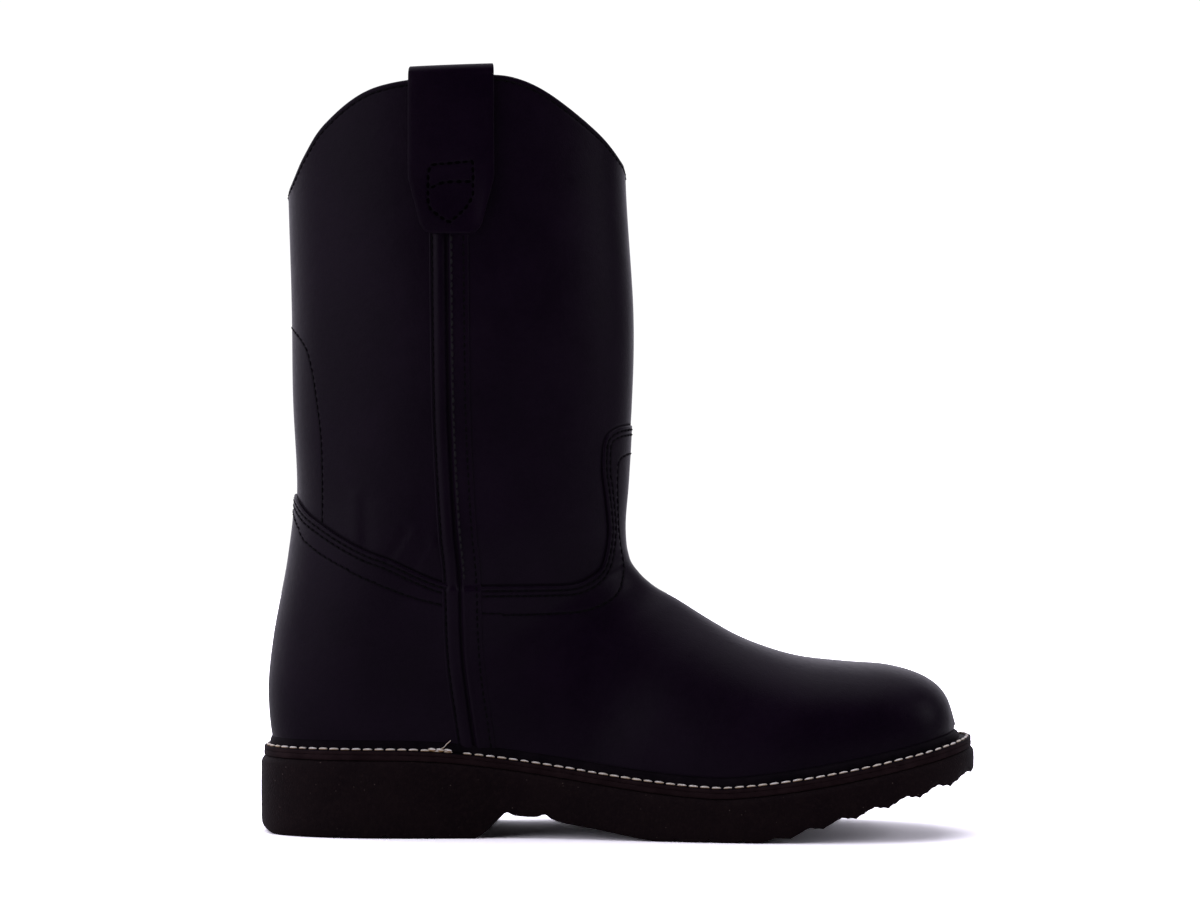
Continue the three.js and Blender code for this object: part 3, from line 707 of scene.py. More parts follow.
def distance_on_skin(line, point):
    """Distance of skin points to a line of the side view, laid on both sides as far as skin goes."""
    t, angle = locate(line[:, 0], line[:, 1])
    on_skin = np.linalg.norm(bare_skin(t, angle)[:, [0, 2]] - line, axis=1) < LAID_WITHIN
    kept = on_skin.copy()
    kept[1:] |= on_skin[:-1]
    kept[:-1] |= on_skin[1:]
    t, angle = t[kept], angle[kept]
    return np.minimum(*[distance_to(bare_skin(t, turn * angle), point) for turn in (-1, 1)])


def inside(outline, x, z):
    found = np.zeros(x.shape, bool)
    for (x0, z0), (x1, z1) in zip(outline, np.roll(outline, -1, axis=0)):
        if z0 == z1:
            continue
        found ^= ((z0 > z) != (z1 > z)) & (x < (x1 - x0) * (z - z0) / (z1 - z0) + x0)
    return found


FAR = 900


def signed(line, closing, point):
    """Distance to a line of the side view, above zero inside the outline that closing completes."""
    outline = np.concatenate([line, closing])
    sign = np.where(inside(outline, point[..., 0], point[..., 2]), 1, -1)
    return sign * distance_on_skin(line, point)


def below_line(line):
    return [(FAR, line[-1][1]), (FAR, -FAR), (-FAR, -FAR), (-FAR, line[0][1])]


SECOND_VAMP_ROW = seen([
    (430, 613), (461, 613), (523, 615), (566, 613), (579, 612), (592, 609), (606, 603), (615, 597),
    (621, 588), (625, 567), (622, 549), (619.5, 530), (618.5, 510), (618, 484), (618.5, 465),
    (620, 460), (623, 457), (628, 454.5), (634, 453.5),
])
SECOND_COUNTER_ROW = seen([
    (289, 503), (294, 518), (304, 541), (320, 554), (352, 573), (381, 586), (416, 599), (441, 605),
    (462, 610),
])
BACK_ROW = smooth(seen([
    (290, 326), (294, 332), (300, 340), (306, 351), (311, 372), (315, 400), (318, 425), (319.5, 450),
    (320, 480), (320, 511), (320, 545),
]), 50)


def seam_x(z):
    return np.interp(-z, -SEAM_LINE[:, 1], SEAM_LINE[:, 0])


def skin_grid():
    """The whole skin as a patch, with the distances that pieces and stitches follow."""
    t = rows_evenly(ROW_SPACING)
    index = np.arange(t.size * AROUND).reshape(t.size, AROUND)
    index[-1] = index[-1, 0]
    angle = np.tile(np.arange(AROUND) / AROUND * 2 * math.pi, t.size)
    t = np.repeat(t, AROUND)
    bare = bare_skin(t, angle)
    place, out = surface(t, angle)
    out[-AROUND:] = (1, 0, 0)
    back_closing = [(-FAR, BACK_ROW[-1][1]), (-FAR, BACK_ROW[0][1])]
    data = {
        "place": place,
        "out": out,
        "sunk": sunk(t),
        "collar": signed(COLLAR, below_line(COLLAR), bare),
        "welt": over_welt(bare),
        "vamp": signed(VAMP_EDGE, below_line(VAMP_EDGE), bare),
        "counter": signed(COUNTER_EDGE, below_line(COUNTER_EDGE), bare),
        "seam": bare[:, 0] - seam_x(bare[:, 2]),
        "row": signed(SECOND_VAMP_ROW, below_line(SECOND_VAMP_ROW), bare),
        "heel_row": signed(SECOND_COUNTER_ROW, below_line(SECOND_COUNTER_ROW), bare),
        "back_row": signed(BACK_ROW, back_closing, bare),
    }
    return Patch(grid_triangles(around_grid(index)), **data)


def moved(patch, height):
    """The patch's places at a height over the skin."""
    return patch.data["place"] + patch.data["out"] * height[:, None]


def rounded(distance, radius):
    """How far a rounded edge of this radius lies under its top, by distance from the edge."""
    share = np.clip(distance / radius, 0, 1)
    return radius * (1 - np.sqrt(1 - (1 - share) ** 2))


COLLAR_ROW = 2.3
# Stitch rows inside the vamp's and counter's edges; the leather is painted darker along them, a painted
# shade.
EDGE_ROWS = (1.9, 4.1)
# How far outside the vamp's and counter's edges the wall is painted darker: a painted shadow of their step.
EDGE_SHADE = 0.4
ROUND_STEPS = (0.12, 0.35, 0.7, 1.15)
OVERLAY_ROUND = 0.75
OVERLAY_START = 2.0
OVERLAY_SINK = 0.1
BACK_CLEAR = -0.5


def build_upper(grid):
    """The wall: its outer face, its lining and the rounded collar between them."""
    grid = trimmed(grid, "collar")
    for step in ROUND_STEPS:
        grid = split(grid, "collar", step)
    grid = trimmed(grid, "welt", -WELT_THICKNESS)
    drop = rounded(grid.data["collar"], WALL / 2)
    outer = moved(grid, -grid.data["sunk"] - drop)
    # The wall is painted darker along the collar and back stitch rows, a painted shade, and along a line
    # just outside the vamp's and counter's edges, a painted shadow.
    rows = [
        ("collar", (COLLAR_ROW,)), ("back_row", (0.0,)), ("vamp", (-EDGE_SHADE,)),
        ("counter", (-EDGE_SHADE,)),
    ]
    add_piece(
        "upper_leather", outer, grid.triangles, leather("upper_leather", rows), ["upper"],
        data={key: grid.data[key] for key, _ in rows},
    )
    inner = moved(grid, -grid.data["sunk"] - WALL + drop)
    add_piece("upper_lining", inner, grid.triangles[:, ::-1], lining())
    made = Patch(grid.triangles, **{**grid.data, "place": outer})
    return lines_of(made, "collar", COLLAR_ROW), visible_back(lines_of(made, "back_row"))


def visible_back(chains):
    """The stitched arch ends at the counter."""
    kept = []
    for points, directions in chains:
        above = signed(COUNTER_EDGE, below_line(COUNTER_EDGE), points) < BACK_CLEAR
        above &= points[:, 0] < 0
        if above.sum() > SHORTEST:
            kept.append((points[above], directions[above]))
    return kept


def build_overlay(name, grid, side, rows):
    """Vamp or counter: a layer with a rounded edge that stands on the wall."""
    toward = grid.data["seam"] * side
    grid = Patch(grid.triangles, **{**grid.data, "from_seam": toward})
    grid = trimmed(trimmed(grid, "from_seam", OVERLAY_START), name)
    for step in ROUND_STEPS[:3]:
        grid = split(grid, name, step)
    grid = trimmed(grid, "welt", -WELT_THICKNESS)
    top = moved(grid, -rounded(grid.data[name], OVERLAY_ROUND))
    foot = moved(grid, -grid.data["sunk"] - OVERLAY_SINK)
    triangles = np.concatenate([grid.triangles, below_rim(grid.triangles, len(top))])
    used, index = np.unique(triangles, return_inverse=True)
    # The rows' distances carry the painted shade along the edge and stitch rows.
    data = {row: np.concatenate([grid.data[row]] * 2)[used] for row, _ in rows}
    add_piece(
        name + "_leather", np.concatenate([top, foot])[used], index.reshape(-1, 3),
        leather(name + "_leather", rows), [name], data=data,
    )
    made = Patch(grid.triangles, **{**grid.data, "place": top})
    found = [lines_of(made, row, level) for row, levels in rows for level in levels]
    return sum(found, [])


def off_seam(chains, clear):
    """Drops what would lie under the side seams."""
    kept = []
    for points, directions in chains:
        free = np.abs(points[:, 0] - seam_x(points[:, 2])) > clear
        runs = np.split(np.arange(len(points)), np.nonzero(np.diff(free))[0] + 1)
        kept += [(points[run], directions[run]) for run in runs if free[run[0]] and len(run) >= SHORTEST]
    return kept


# Stitches
WAY_STEP = 0.6
UNEVEN_SIZE = 0.05
UNEVEN_RISE = 0.03


def pill(rings=5, around=7):
    """A stitch of unit size lying along X: points and triangles."""
    turn = np.arange(around) / around * 2 * math.pi
    along = np.sin(np.linspace(-1, 1, rings + 2)[1:-1] * math.pi / 2)
    radius = (1 - np.abs(along) ** 2.6) ** 0.5
    points = [[-1, 0, 0]]
    for x, r in zip(along, radius):
        points += [[x, r * math.cos(a), r * math.sin(a)] for a in turn]
    points.append([1, 0, 0])
    triangles = []
    last = len(points) - 1
    for k in range(around):
        n = (k + 1) % around
        triangles.append([0, 1 + n, 1 + k])
        triangles.append([last, last - around + k, last - around + n])
        for ring in range(rings - 1):
            a, b = 1 + ring * around + k, 1 + ring * around + n
            triangles += [[a, b, b + around], [a, b + around, a + around]]
    return np.array(points), np.array(triangles)


def spaced(chain, pitch):
    """Middles, ways and directions at an even pitch along a chain."""
    points, directions = chain
    length = lengths_along(points)
    count = int(length[-1] // pitch)
    if count < 1:
        return np.zeros((0, 3)), np.zeros((0, 3)), np.zeros((0, 3))
    at = (np.arange(count) + 0.5) * (length[-1] / count)
    ahead = read_at(points, length, np.minimum(at + WAY_STEP, length[-1]))
    behind = read_at(points, length, np.maximum(at - WAY_STEP, 0))
    return read_at(points, length, at), unit(ahead - behind), unit(read_at(directions, length, at))


def sew(name, chains, pitch, size, rise, material, slot="black_leather", wander=0.05, tilt=0.0, seed=3):
    """Stitches along chains. size is their length, width and height."""
    random = np.random.default_rng(seed)
    found = [spaced(chain, pitch) for chain in chains]
    middle, way, out = (np.concatenate(part) for part in zip(*found))
    across = unit(np.cross(out, way))
    turned = tilt + random.normal(0, wander, len(middle))
    way = unit(way + across * turned[:, None])
    across = unit(np.cross(out, way))
    shape, triangles = pill()
    scale = np.array(size) / 2 * random.normal(1, UNEVEN_SIZE, (len(middle), 1))
    lift = rise + random.normal(0, UNEVEN_RISE, len(middle))
    centre = middle + out * lift[:, None]
    local = shape[None] * scale[:, None, :]
    places = centre[:, None] + sum(
        local[..., k, None] * axis[:, None] for k, axis in enumerate((way, across, out))
    )
    steps = np.arange(len(middle))[:, None, None] * len(shape)
    triangles = (triangles[None] + steps).reshape(-1, 3)
    add_piece(name, places.reshape(-1, 3), triangles, material, slot=slot)


# The sole's outline seen from above
FEATHER_ROWS = {"back": (7.0, 9.0), "toe": (LAST_ROW - 2.0, float(LAST_ROW))}
FEATHER_STEPS = 400
FEATHER_POINTS = 800
AWAY_SPAN = 4


def solve(value, low, high):
    """Where a value changes its sign between two arguments, for arrays."""
    rising = value(high) > value(low)
    for _ in range(HALVINGS):
        middle = (low + high) / 2
        past = (value(middle) > 0) == rising
        low, high = np.where(past, low, middle), np.where(past, middle, high)
    return (low + high) / 2


def feather_line():
    """The line where the skin meets the welt, as a closed outline with even steps."""
    def at_back(t):
        return over_welt(bare_skin(t, np.full_like(t, math.pi)))

    ends = [solve(at_back, *np.array(FEATHER_ROWS[end])[:, None])[0] for end in ("back", "toe")]
    t = ends[0] + (ends[1] - ends[0]) * (1 - np.cos(np.linspace(0, math.pi, FEATHER_STEPS))) / 2
    half_turn = np.full_like(t, math.pi)
    sides = []
    for turn in (-1, 1):
        angle = solve(lambda a: over_welt(bare_skin(t, turn * a)), half_turn / 2, half_turn)
        angle[[0, -1]] = math.pi
        sides.append(bare_skin(t, turn * angle)[:, :2])
    ring = np.concatenate([sides[0], sides[1][::-1][1:]])
    length = lengths_along(ring)
    return read_at(ring, length, np.linspace(0, length[-1], FEATHER_POINTS, endpoint=False))


FEATHER = feather_line()
ALONG = unit(np.roll(FEATHER, -AWAY_SPAN, axis=0) - np.roll(FEATHER, AWAY_SPAN, axis=0))
AWAY = ALONG[:, ::-1] * [1, -1]
FLANGE = {"heel": 0.68, "toe": 1.38}
FLANGE_GROWS = {"low": -0.2, "high": 0.5}
FORWARD = smoothstep(FEATHER[:, 0] / FOOT_LENGTH, **FLANGE_GROWS)
FLANGE_HERE = FLANGE_WIDTH * (FLANGE["heel"] + (FLANGE["toe"] - FLANGE["heel"]) * FORWARD)


def outline(distance):
    return FEATHER + AWAY * np.asarray(distance)[..., None]


def ring_at(reach, up):
    """A ring round the outline, at a height over the welt line."""
    flat = outline(reach)
    return np.column_stack([flat, welt_height(flat[:, 0]) + up])


def ring_grid(rings, closed):
    """Triangles over rings round the outline, each an array of places."""
    index = around_grid(np.arange(len(rings) * len(FEATHER)).reshape(len(rings), -1))
    if closed:
        index = np.concatenate([index, index[:1]])
    places = np.concatenate(rings)
    return places, turned_out(places, grid_triangles(index))


def turned_out(places, triangles):
    """The triangles, turned so that the mesh faces out."""
    a, b, c = (places[triangles[:, k]] for k in range(3))
    return triangles if (a * np.cross(b, c)).sum() > 0 else triangles[:, ::-1]


def flat_cap(edge, x, y, coarse, height):
    """A mesh inside a closed edge. height gives its z by x and by the distance from the edge."""
    index = np.arange(len(x) * len(y)).reshape(len(x), len(y))
    flat = np.stack(np.meshgrid(x, y, indexing="ij"), -1).reshape(-1, 2)
    ring = np.concatenate([edge, edge[:1]])
    sign = np.where(inside(ring, flat[:, 0], flat[:, 1]), 1, -1)
    within = sign * distance_to(ring[::coarse], flat)
    place = np.column_stack([flat, height(flat[:, 0], within)])
    return trimmed(Patch(grid_triangles(index), place=place, edge=within), "edge")


def steps_over(values, margin, step):
    return np.arange(values.min() - margin, values.max() + margin + 1, step)


# Rows of the welt's section: reach is from the flange's edge, or from the upper as a share of
# the ridge's width, and up is over the welt line.
FLANGE_SECTION = [
    (-9, -1.8), (-0.2, -1.8), (-0.04, -1.76), (0, -1.6), (0, -0.55), (-0.1, -0.22), (-0.4, -0.02),
    (-0.75, 0), (-1.0, -0.1), (-1.35, -0.38), (-1.8, -0.42), (-2.15, -0.2), (-2.4, 0),
]
RIDGE_SECTION = [
    (1.06, 0), (1.05, 0.14), (1.02, 0.34), (0.93, 0.56), (0.78, 0.76), (0.58, 0.9), (0.34, 0.98),
    (0.08, 1), (-0.3, 0.98), (-1.1, 0.9),
]
FLANGE_ROW = -1.6
ROW_DEPTH = 0.35


RIDGE_CLEAR = 2.5
TOP_FROM = -0.3


def build_welt():
    """The welt's flange and ridge. Returns the line of its stitches."""
    ridge = np.minimum(RIDGE_WIDTH, FLANGE_HERE - RIDGE_CLEAR)
    rings = [ring_at(FLANGE_HERE + reach, up) for reach, up in FLANGE_SECTION]
    rings += [ring_at(ridge * share, up * RIDGE_HEIGHT) for share, up in RIDGE_SECTION]
    top = np.array([up > TOP_FROM for _, up in FLANGE_SECTION + RIDGE_SECTION], float)
    add_piece(
        "welt_strip", *ring_grid(rings, closed=True), cut_edge("welt_leather", has_top=True),
        ["welt"], "welt_leather", {"top": np.repeat(top, len(FEATHER))},
    )
    line = ring_at(FLANGE_HERE + FLANGE_ROW, -ROW_DEPTH)
    return np.concatenate([line, line[:1]])


MIDSOLE_SECTION = [
    (-9, 0), (-0.2, 0), (-0.04, 0.02), (0, 0.12), (0.1, 0.5), (0.03, 0.82), (-0.15, 0.96),
    (-0.5, 1), (-9, 1),
]
MIDSOLE_TOP = -WELT_THICKNESS - GAP / 3


def build_midsole():
    depth = MIDSOLE_THICKNESS + GAP
    rings = [ring_at(FLANGE_HERE + reach, MIDSOLE_TOP - share * depth) for reach, share in MIDSOLE_SECTION]
    add_piece(
        "midsole_edge", *ring_grid(rings, closed=True), cut_edge("midsole_leather"), ["midsole"],
        "midsole_leather",
    )


RAMP = {"from": 0.198, "to": 0.527}
HEEL_BEVEL = {"length": 7, "height": 5.2}
LUG_DROP = {"share": 1.02, "below": 0.2}
TOE_TEETH = {"pitch": 3.4, "depth": 0.55, "grow": 70, "step": 0.35}
HEEL_GROOVES = np.array([-0.406, -0.337, -0.268]) * FOOT_LENGTH


def groove_at(x):
    half, slope = GROOVE_WIDTH / 2, GROOVE_WIDTH * 0.2
    return [(x - half, 0), (x - slope, GROOVE_DEPTH), (x + slope, GROOVE_DEPTH), (x + half, 0)]


def tread_line():
    """The tread in the side view, from heel to toe: heel, arch, flat ball and the toe's ramp."""
    heel = outline(FLANGE_HERE + OUTSOLE_LEDGE)[:, 0].min()
    bevel = np.sin(np.linspace(0, 1, 12) * math.pi / 2)
    rise = HEEL_BEVEL["height"] * (1 - np.sqrt(bevel))
    line = [(heel - 5, HEEL_BEVEL["height"])]
    line += list(zip(heel + HEEL_BEVEL["length"] * bevel - GAP, rise))
    for x in HEEL_GROOVES:
        line += groove_at(x)
    line += list(smooth(ARCH, 60))
    ramp_start, ramp_end = RAMP["from"] * FOOT_LENGTH, RAMP["to"] * FOOT_LENGTH
    last_groove = ramp_start - LUG_PITCH / 2
    steps = int((last_groove - ARCH[-1][0] - GROOVE_WIDTH) / LUG_PITCH)
    for k in range(steps, -1, -1):
        line += groove_at(last_groove - k * LUG_PITCH)
    line.append((ramp_start, 0))
    for x in np.arange(ramp_start, ramp_end + LUG_PITCH, LUG_PITCH):
        level = TOE_LIFT * (x + LUG_PITCH / 2 - ramp_start) / (ramp_end - ramp_start)
        riser = level * LUG_DROP["share"] + LUG_DROP["below"]
        line += [(x + LUG_RISER, riser), (x + LUG_PITCH, level)]
    line = np.array(line)
    fine = np.arange(ramp_start, line[-1][0], TOE_TEETH["step"])
    teeth = np.abs(np.sin(fine / TOE_TEETH["pitch"] * math.pi)) * TOE_TEETH["depth"]
    teeth *= smoothstep(fine, ramp_start, ramp_start + TOE_TEETH["grow"])
    ramp = np.column_stack([fine, np.interp(fine, *line.T) + teeth])
    return np.concatenate([line[line[:, 0] < ramp_start], ramp])


# Levels of the outsole's side: share of the way down, and millimetres from there; reach is over
# the flange's edge.
SIDE_LEVELS = [
    (0, 0, -0.9), (0, 0, -0.3), (0, -0.25, 0), (0, -0.9, 0.5), (0, -1.7, 0.95), (0, -2.4, 1.2),
    (0.3, 0, 1.25), (0.5, 0, 1.3), (0.7, 0, 1.25), (0.85, 0, 1.2), (1, 1.6, 1.15), (1, 0.7, 1.0),
    (1, 0.2, 0.7), (1, 0, 0.3),
]


OUTSOLE_TOP = -WELT_THICKNESS - MIDSOLE_THICKNESS - 2 * GAP


def build_outsole():
    tread = tread_line()
    rings = [ring_at(FLANGE_HERE + reach, OUTSOLE_TOP) for _, _, reach in SIDE_LEVELS]
    for ring, (share, down, _) in zip(rings, SIDE_LEVELS):
        top = ring[:, 2].copy()
        foot = np.interp(ring[:, 0], *tread.T)
        ring[:, 2] = np.clip(top + (foot - top) * share + down, foot, top)
    sides, triangles = ring_grid(rings, closed=False)
    edge = outline(FLANGE_HERE + SIDE_LEVELS[-1][2])
    x = np.unique(np.concatenate([tread[:, 0], steps_over(edge[:, 0], 1, 1.6)]))
    x = x[(x > edge[:, 0].min() - 2) & (x < edge[:, 0].max() + 2)]
    cap = flat_cap(edge, x, steps_over(edge[:, 1], 2, 1.5), 2, lambda x, _: np.interp(x, *tread.T))
    places = np.concatenate([sides, cap.data["place"]])
    triangles = np.concatenate([triangles, cap.triangles[:, ::-1] + len(sides)])
    add_piece("outsole_foam", places, triangles, foam_rubber(), ["outsole"], "blown_rubber")


INSOLE_CLEAR = WALL + GAP + OVERLAY + GAP + 1.2
INSOLE_STEP = 2.2
CUP = {"height": 1.2, "width": 9, "below": 0.6}


def footbed_height(x, within):
    cup = CUP["height"] * (1 - smoothstep(within, 0, CUP["width"])) - CUP["below"]
    return welt_height(x) + (INSOLE_THICKNESS - WELT_THICKNESS + cup)


def build_insole():
    """The footbed, a little cupped round its edge."""
    edge = outline(np.full(len(FEATHER), -INSOLE_CLEAR))
    x, y = (steps_over(values, 2, INSOLE_STEP) for values in edge.T)
    cap = flat_cap(edge, x, y, 4, footbed_height)
    top = cap.data["place"]
    foot = top - [0, 0, INSOLE_THICKNESS - 0.8]
    under = cap.triangles[:, ::-1] + len(top)
    triangles = np.concatenate([cap.triangles, below_rim(cap.triangles, len(top)), under])
    add_piece(
        "footbed", np.concatenate([top, foot]), triangles, footbed_leather(), ["insole"], "insole_leather",
    )


# The side seams: a strip with a rounded ridge, a groove and three rows of stitches
SEAM_SECTION = np.array([
    (-8.3, -0.6), (-8.2, 0.02), (-7.8, 0.2), (-7.3, 0.24), (-6.9, 0.05), (-6.5, 0.25), (-6.1, 0.62),
    (-5.6, 0.98), (-5.0, 1.22), (-4.2, 1.34), (-3.3, 1.28), (-2.5, 1.02), (-1.9, 0.55), (-1.4, -0.05),
    (-0.9, -0.35), (-0.4, -0.3), (0.1, 0.2), (0.5, 0.66), (1.0, 0.8), (1.6, 0.78), (2.2, 0.62),
    (3.2, 0.56), (4.6, 0.46), (5.6, 0.36), (6.2, 0.26), (6.8, 0.32), (7.3, 0.26), (7.8, 0.18),
    (8.2, 0), (8.3, -0.6),
])
SEAM_ROWS = {"a": -6.9, "b": 1.15, "c": 6.2}
# Where the groove between the ridge and row b lies; the leather is painted darker there, a painted shade.
SEAM_GROOVE = -0.7
STRIP_LEVEL = {"shaft": 0.45, "foot": 1.45}
FOOT_FLATTER = 0.35
SEAM_STEP = {"low": -0.4, "high": 1.6}
SEAM_OVERLAP = 6
BEAD_CLEAR = 2


def seam_places(side, z, across):
    """Places of the strip, which lies on the wall above and on vamp and counter below."""
    step = smoothstep(VAMP_EDGE[0][1] - z, **SEAM_STEP)
    level = STRIP_LEVEL["shaft"] + (STRIP_LEVEL["foot"] - STRIP_LEVEL["shaft"]) * step
    flatter = 1 - FOOT_FLATTER * step * smoothstep(-across, 1.2, 3)
    height = level + np.interp(across, SEAM_SECTION[:, 0], SEAM_SECTION[:, 1]) * flatter
    point, out = wall_at(seam_x(z) + across, z, side)
    return point + out * height[..., None], out


def build_seam(name, side):
    """The strip, and its rows of stitches as chains."""
    top = STRAP_TOP - STRAP_OUTSIDE + SEAM_OVERLAP
    foot = float(welt_height(SEAM_LINE[-1][0])) + RIDGE_HEIGHT - 1.5
    z = np.linspace(top, foot, 260)
    zs, across = np.meshgrid(z, SEAM_SECTION[:, 0], indexing="ij")
    places, _ = seam_places(side, zs, across)
    triangles = grid_triangles(np.arange(zs.size).reshape(zs.shape))[:, ::-side]
    # Its leather is painted darker along stitch row a and along the groove: painted shade.
    made = leather("seam_leather_" + name, [("across", (SEAM_ROWS["a"], SEAM_GROOVE))])
    add_piece(
        "side_seam_strip_" + name, places.reshape(-1, 3), triangles, made, ["side_seam_" + name],
        data={"across": across.ravel()},
    )
    chains = {}
    for row, where in SEAM_ROWS.items():
        heights = z[z > VAMP_EDGE[0][1] + BEAD_CLEAR] if row == "b" else z
        chains[row] = seam_places(side, heights, np.full_like(heights, where))
    return chains


# The pull straps
STRAP_RADIUS = WALL / 2 + STRAP_SLACK + STRAP_THICKNESS / 2
STRAP_TOP = COLLAR_TOP + STRAP_RADIUS + STRAP_THICKNESS / 2
STRAP_CORNER = 5.0
STRAP_ROUND = 0.5
STRAP_STITCHES = [
    [(431, 165.5), (440, 164.5), (452, 163.5), (472, 161.8), (473, 175), (473, 193), (471, 200),
     (466, 208), (458, 216), (450, 222.5), (441, 217.5), (435, 213), (431, 209), (429, 204),
     (428.5, 190), (429, 176), (430.5, 166.5)],
    [(430, 189), (434, 187), (442, 183.3), (452, 182), (462, 182), (472, 182)],
]


def strap_width(below_top, length):
    """The strap's width at a distance below its fold, with a tapered and rounded end."""
    taper = smoothstep(below_top, length - STRAP_TAPER - 2, length - 1)
    linear = np.clip((below_top - (length - STRAP_TAPER)) / STRAP_TAPER, 0, 1)
    width = STRAP_WIDTH - (STRAP_WIDTH - STRAP_END_WIDTH) * (0.25 * taper + 0.75 * linear)
    left = np.clip(STRAP_CORNER - (length - below_top), 0, STRAP_CORNER)
    return width - 2 * (STRAP_CORNER - np.sqrt(STRAP_CORNER**2 - left**2)) * 0.8


def strap_lift(across, z):
    """The outer leg bows away from the wall towards its front edge and its end."""
    below = COLLAR_TOP - z
    ahead = smoothstep(across, 8, 18) * smoothstep(below, 20, 60)
    end = smoothstep(below, STRAP_OUTSIDE - 19, STRAP_OUTSIDE - 2) * smoothstep(across, -14, 4)
    pressed = np.exp(-(((across - 1) / 9) ** 2 + ((below - 47) / 13) ** 2) ** 2)
    return 1.9 * ahead + 1.1 * end * (1 - 0.4 * ahead) - 0.35 * pressed


def strap_places(side, across, z, turn, height):
    """Points of a strap: turn is 0 on the outer leg and half a turn on the inner one."""
    x = STRAP_CENTRE * FOOT_LENGTH + across
    point, out = wall_at(x, z, side)
    direction = out * np.cos(turn)[..., None] + np.array(UP) * np.sin(turn)[..., None]
    lift = strap_lift(across, z) * (np.cos(turn) > 0.99)
    near_fold = 1 - smoothstep(COLLAR_TOP - z, -2, 11)
    lift = lift - 1.0 * near_fold * np.maximum(np.cos(turn), 0)
    lean = 0.04 * across * np.sin(turn)
    middle = point - out * (WALL / 2)
    reach = STRAP_RADIUS + height + lift + lean
    return middle + direction * reach[..., None], direction


def build_strap(name, side):
    outer = np.linspace(STRAP_OUTSIDE, STRAP_TOP - COLLAR_TOP, 90)
    bend = np.linspace(0, math.pi, 26)[1:-1]
    inner = np.linspace(STRAP_TOP - COLLAR_TOP, STRAP_INSIDE, 60)
    turn = np.concatenate([np.zeros_like(outer), bend, np.full_like(inner, math.pi)])
    z = np.concatenate([STRAP_TOP - outer, np.full_like(bend, COLLAR_TOP), STRAP_TOP - inner])
    width = np.concatenate([
        strap_width(outer, STRAP_OUTSIDE), np.full_like(bend, STRAP_WIDTH), strap_width(inner, STRAP_INSIDE),
    ])
    corner = np.linspace(0, math.pi / 2, 4)
    flat = np.linspace(-1, 1, 23)[1:-1]
    half = STRAP_THICKNESS / 2
    section = [(s, 0.0, half) for s in flat]
    section += [(1, STRAP_ROUND * math.sin(a), half - STRAP_ROUND * (1 - math.cos(a))) for a in corner]
    section += [(1, STRAP_ROUND * math.cos(a), STRAP_ROUND * (1 - math.sin(a)) - half) for a in corner]
    section = np.concatenate([section, -np.array(section)])
    share, extra, height = section.T
    across = share[None] * (width[:, None] / 2 - STRAP_ROUND) + extra[None]
    turns = np.broadcast_to(turn[:, None], across.shape)
    zs = np.broadcast_to(z[:, None], across.shape)
    heights = np.broadcast_to(height[None], across.shape)
    places, _ = strap_places(side, across, zs, turns, heights)
    count = across.shape[1]
    index = np.arange(across.size).reshape(across.shape)
    index = np.concatenate([index, index[:, :1]], axis=1)
    points = np.concatenate([places.reshape(-1, 3), places[0].mean(0)[None], places[-1].mean(0)[None]])
    base = across.size
    ends = []
    for k in range(count):
        n = (k + 1) % count
        ends.append([base, k, n])
        ends.append([base + 1, base - count + n, base - count + k])
    triangles = np.concatenate([grid_triangles(index), np.array(ends)])
    lines = [seen_on_strap(side, row) for row in STRAP_STITCHES]
    distance = np.full(len(points), 99.0)
    for line, _ in lines:
        for start, end in zip(line[:-1], line[1:]):
            distance = np.minimum(distance, segment_distance(points, start, end))
    # The strap is painted darker along its stitch rows: painted shade.
    made = leather("strap_leather_" + name, [("stitch", (0.0,))], gloss=0.38, shine=0.055)
    add_piece(
        "pull_strap_leather_" + name, points, turned_out(points, triangles), made,
        ["pull_strap_" + name], "black_leather", {"stitch": distance},
    )
    return lines


def seen_on_strap(side, pixels):
    """A row of stitches on the strap's outer leg, from picture points."""
    line = smooth_corners(seen(pixels))
    across = line[:, 0] - STRAP_CENTRE * FOOT_LENGTH
    flat = np.zeros_like(across)
    return strap_places(side, across, line[:, 1], flat, flat + STRAP_THICKNESS / 2)


def smooth_corners(line, step=0.8):
    length = lengths_along(line)
    return read_at(line, length, np.linspace(0, length[-1], int(length[-1] / step)))


# The boot
BLACK_THREAD = thread("black_thread", (0.0012, 0.0008, 0.0014), (0.003, 0.002, 0.0034), 0.85, 0.5, 0.08)
# The pale thread's below colour is a painted shade on its downward-facing side.
PALE_THREAD = thread(
    "pale_thread", (0.97, 0.94, 0.88), (0.78, 0.70, 0.56), 0.7, 0.7, below=(0.36, 0.20, 0.07),
)
HOLE_THREAD = thread("sunk_thread", (0.0005, 0.0001, 0.0007), (0.0009, 0.0003, 0.0012), 0.9, 0.5, 0.02)
WORN_THREAD = thread("worn_thread", (0.0022, 0.0012, 0.0026), (0.0052, 0.0036, 0.0058), 0.55, 0.5, 0.2)
DASH = (2.25, 0.78, 0.7)
DASH_PITCH = 3.2
ROWS_CLEAR = 7.5
WELT_STITCH = (3.9, 1.35, 1.2)
WELT_PITCH = 4.85

grid = skin_grid()
collar_rows, back_rows = build_upper(grid)
vamp_rows = build_overlay("vamp", grid, 1, [("vamp", EDGE_ROWS), ("row", (0.0,))])
counter_rows = build_overlay("counter", grid, -1, [("counter", EDGE_ROWS), ("heel_row", (0.0,))])
welt_row = build_welt()
build_midsole()
build_outsole()
build_insole()
seam_rows = {}
strap_rows = []
for name, side in (("medial", -1), ("lateral", 1)):
    seam_rows[name] = build_seam(name, side)
    strap_rows += build_strap(name, side)

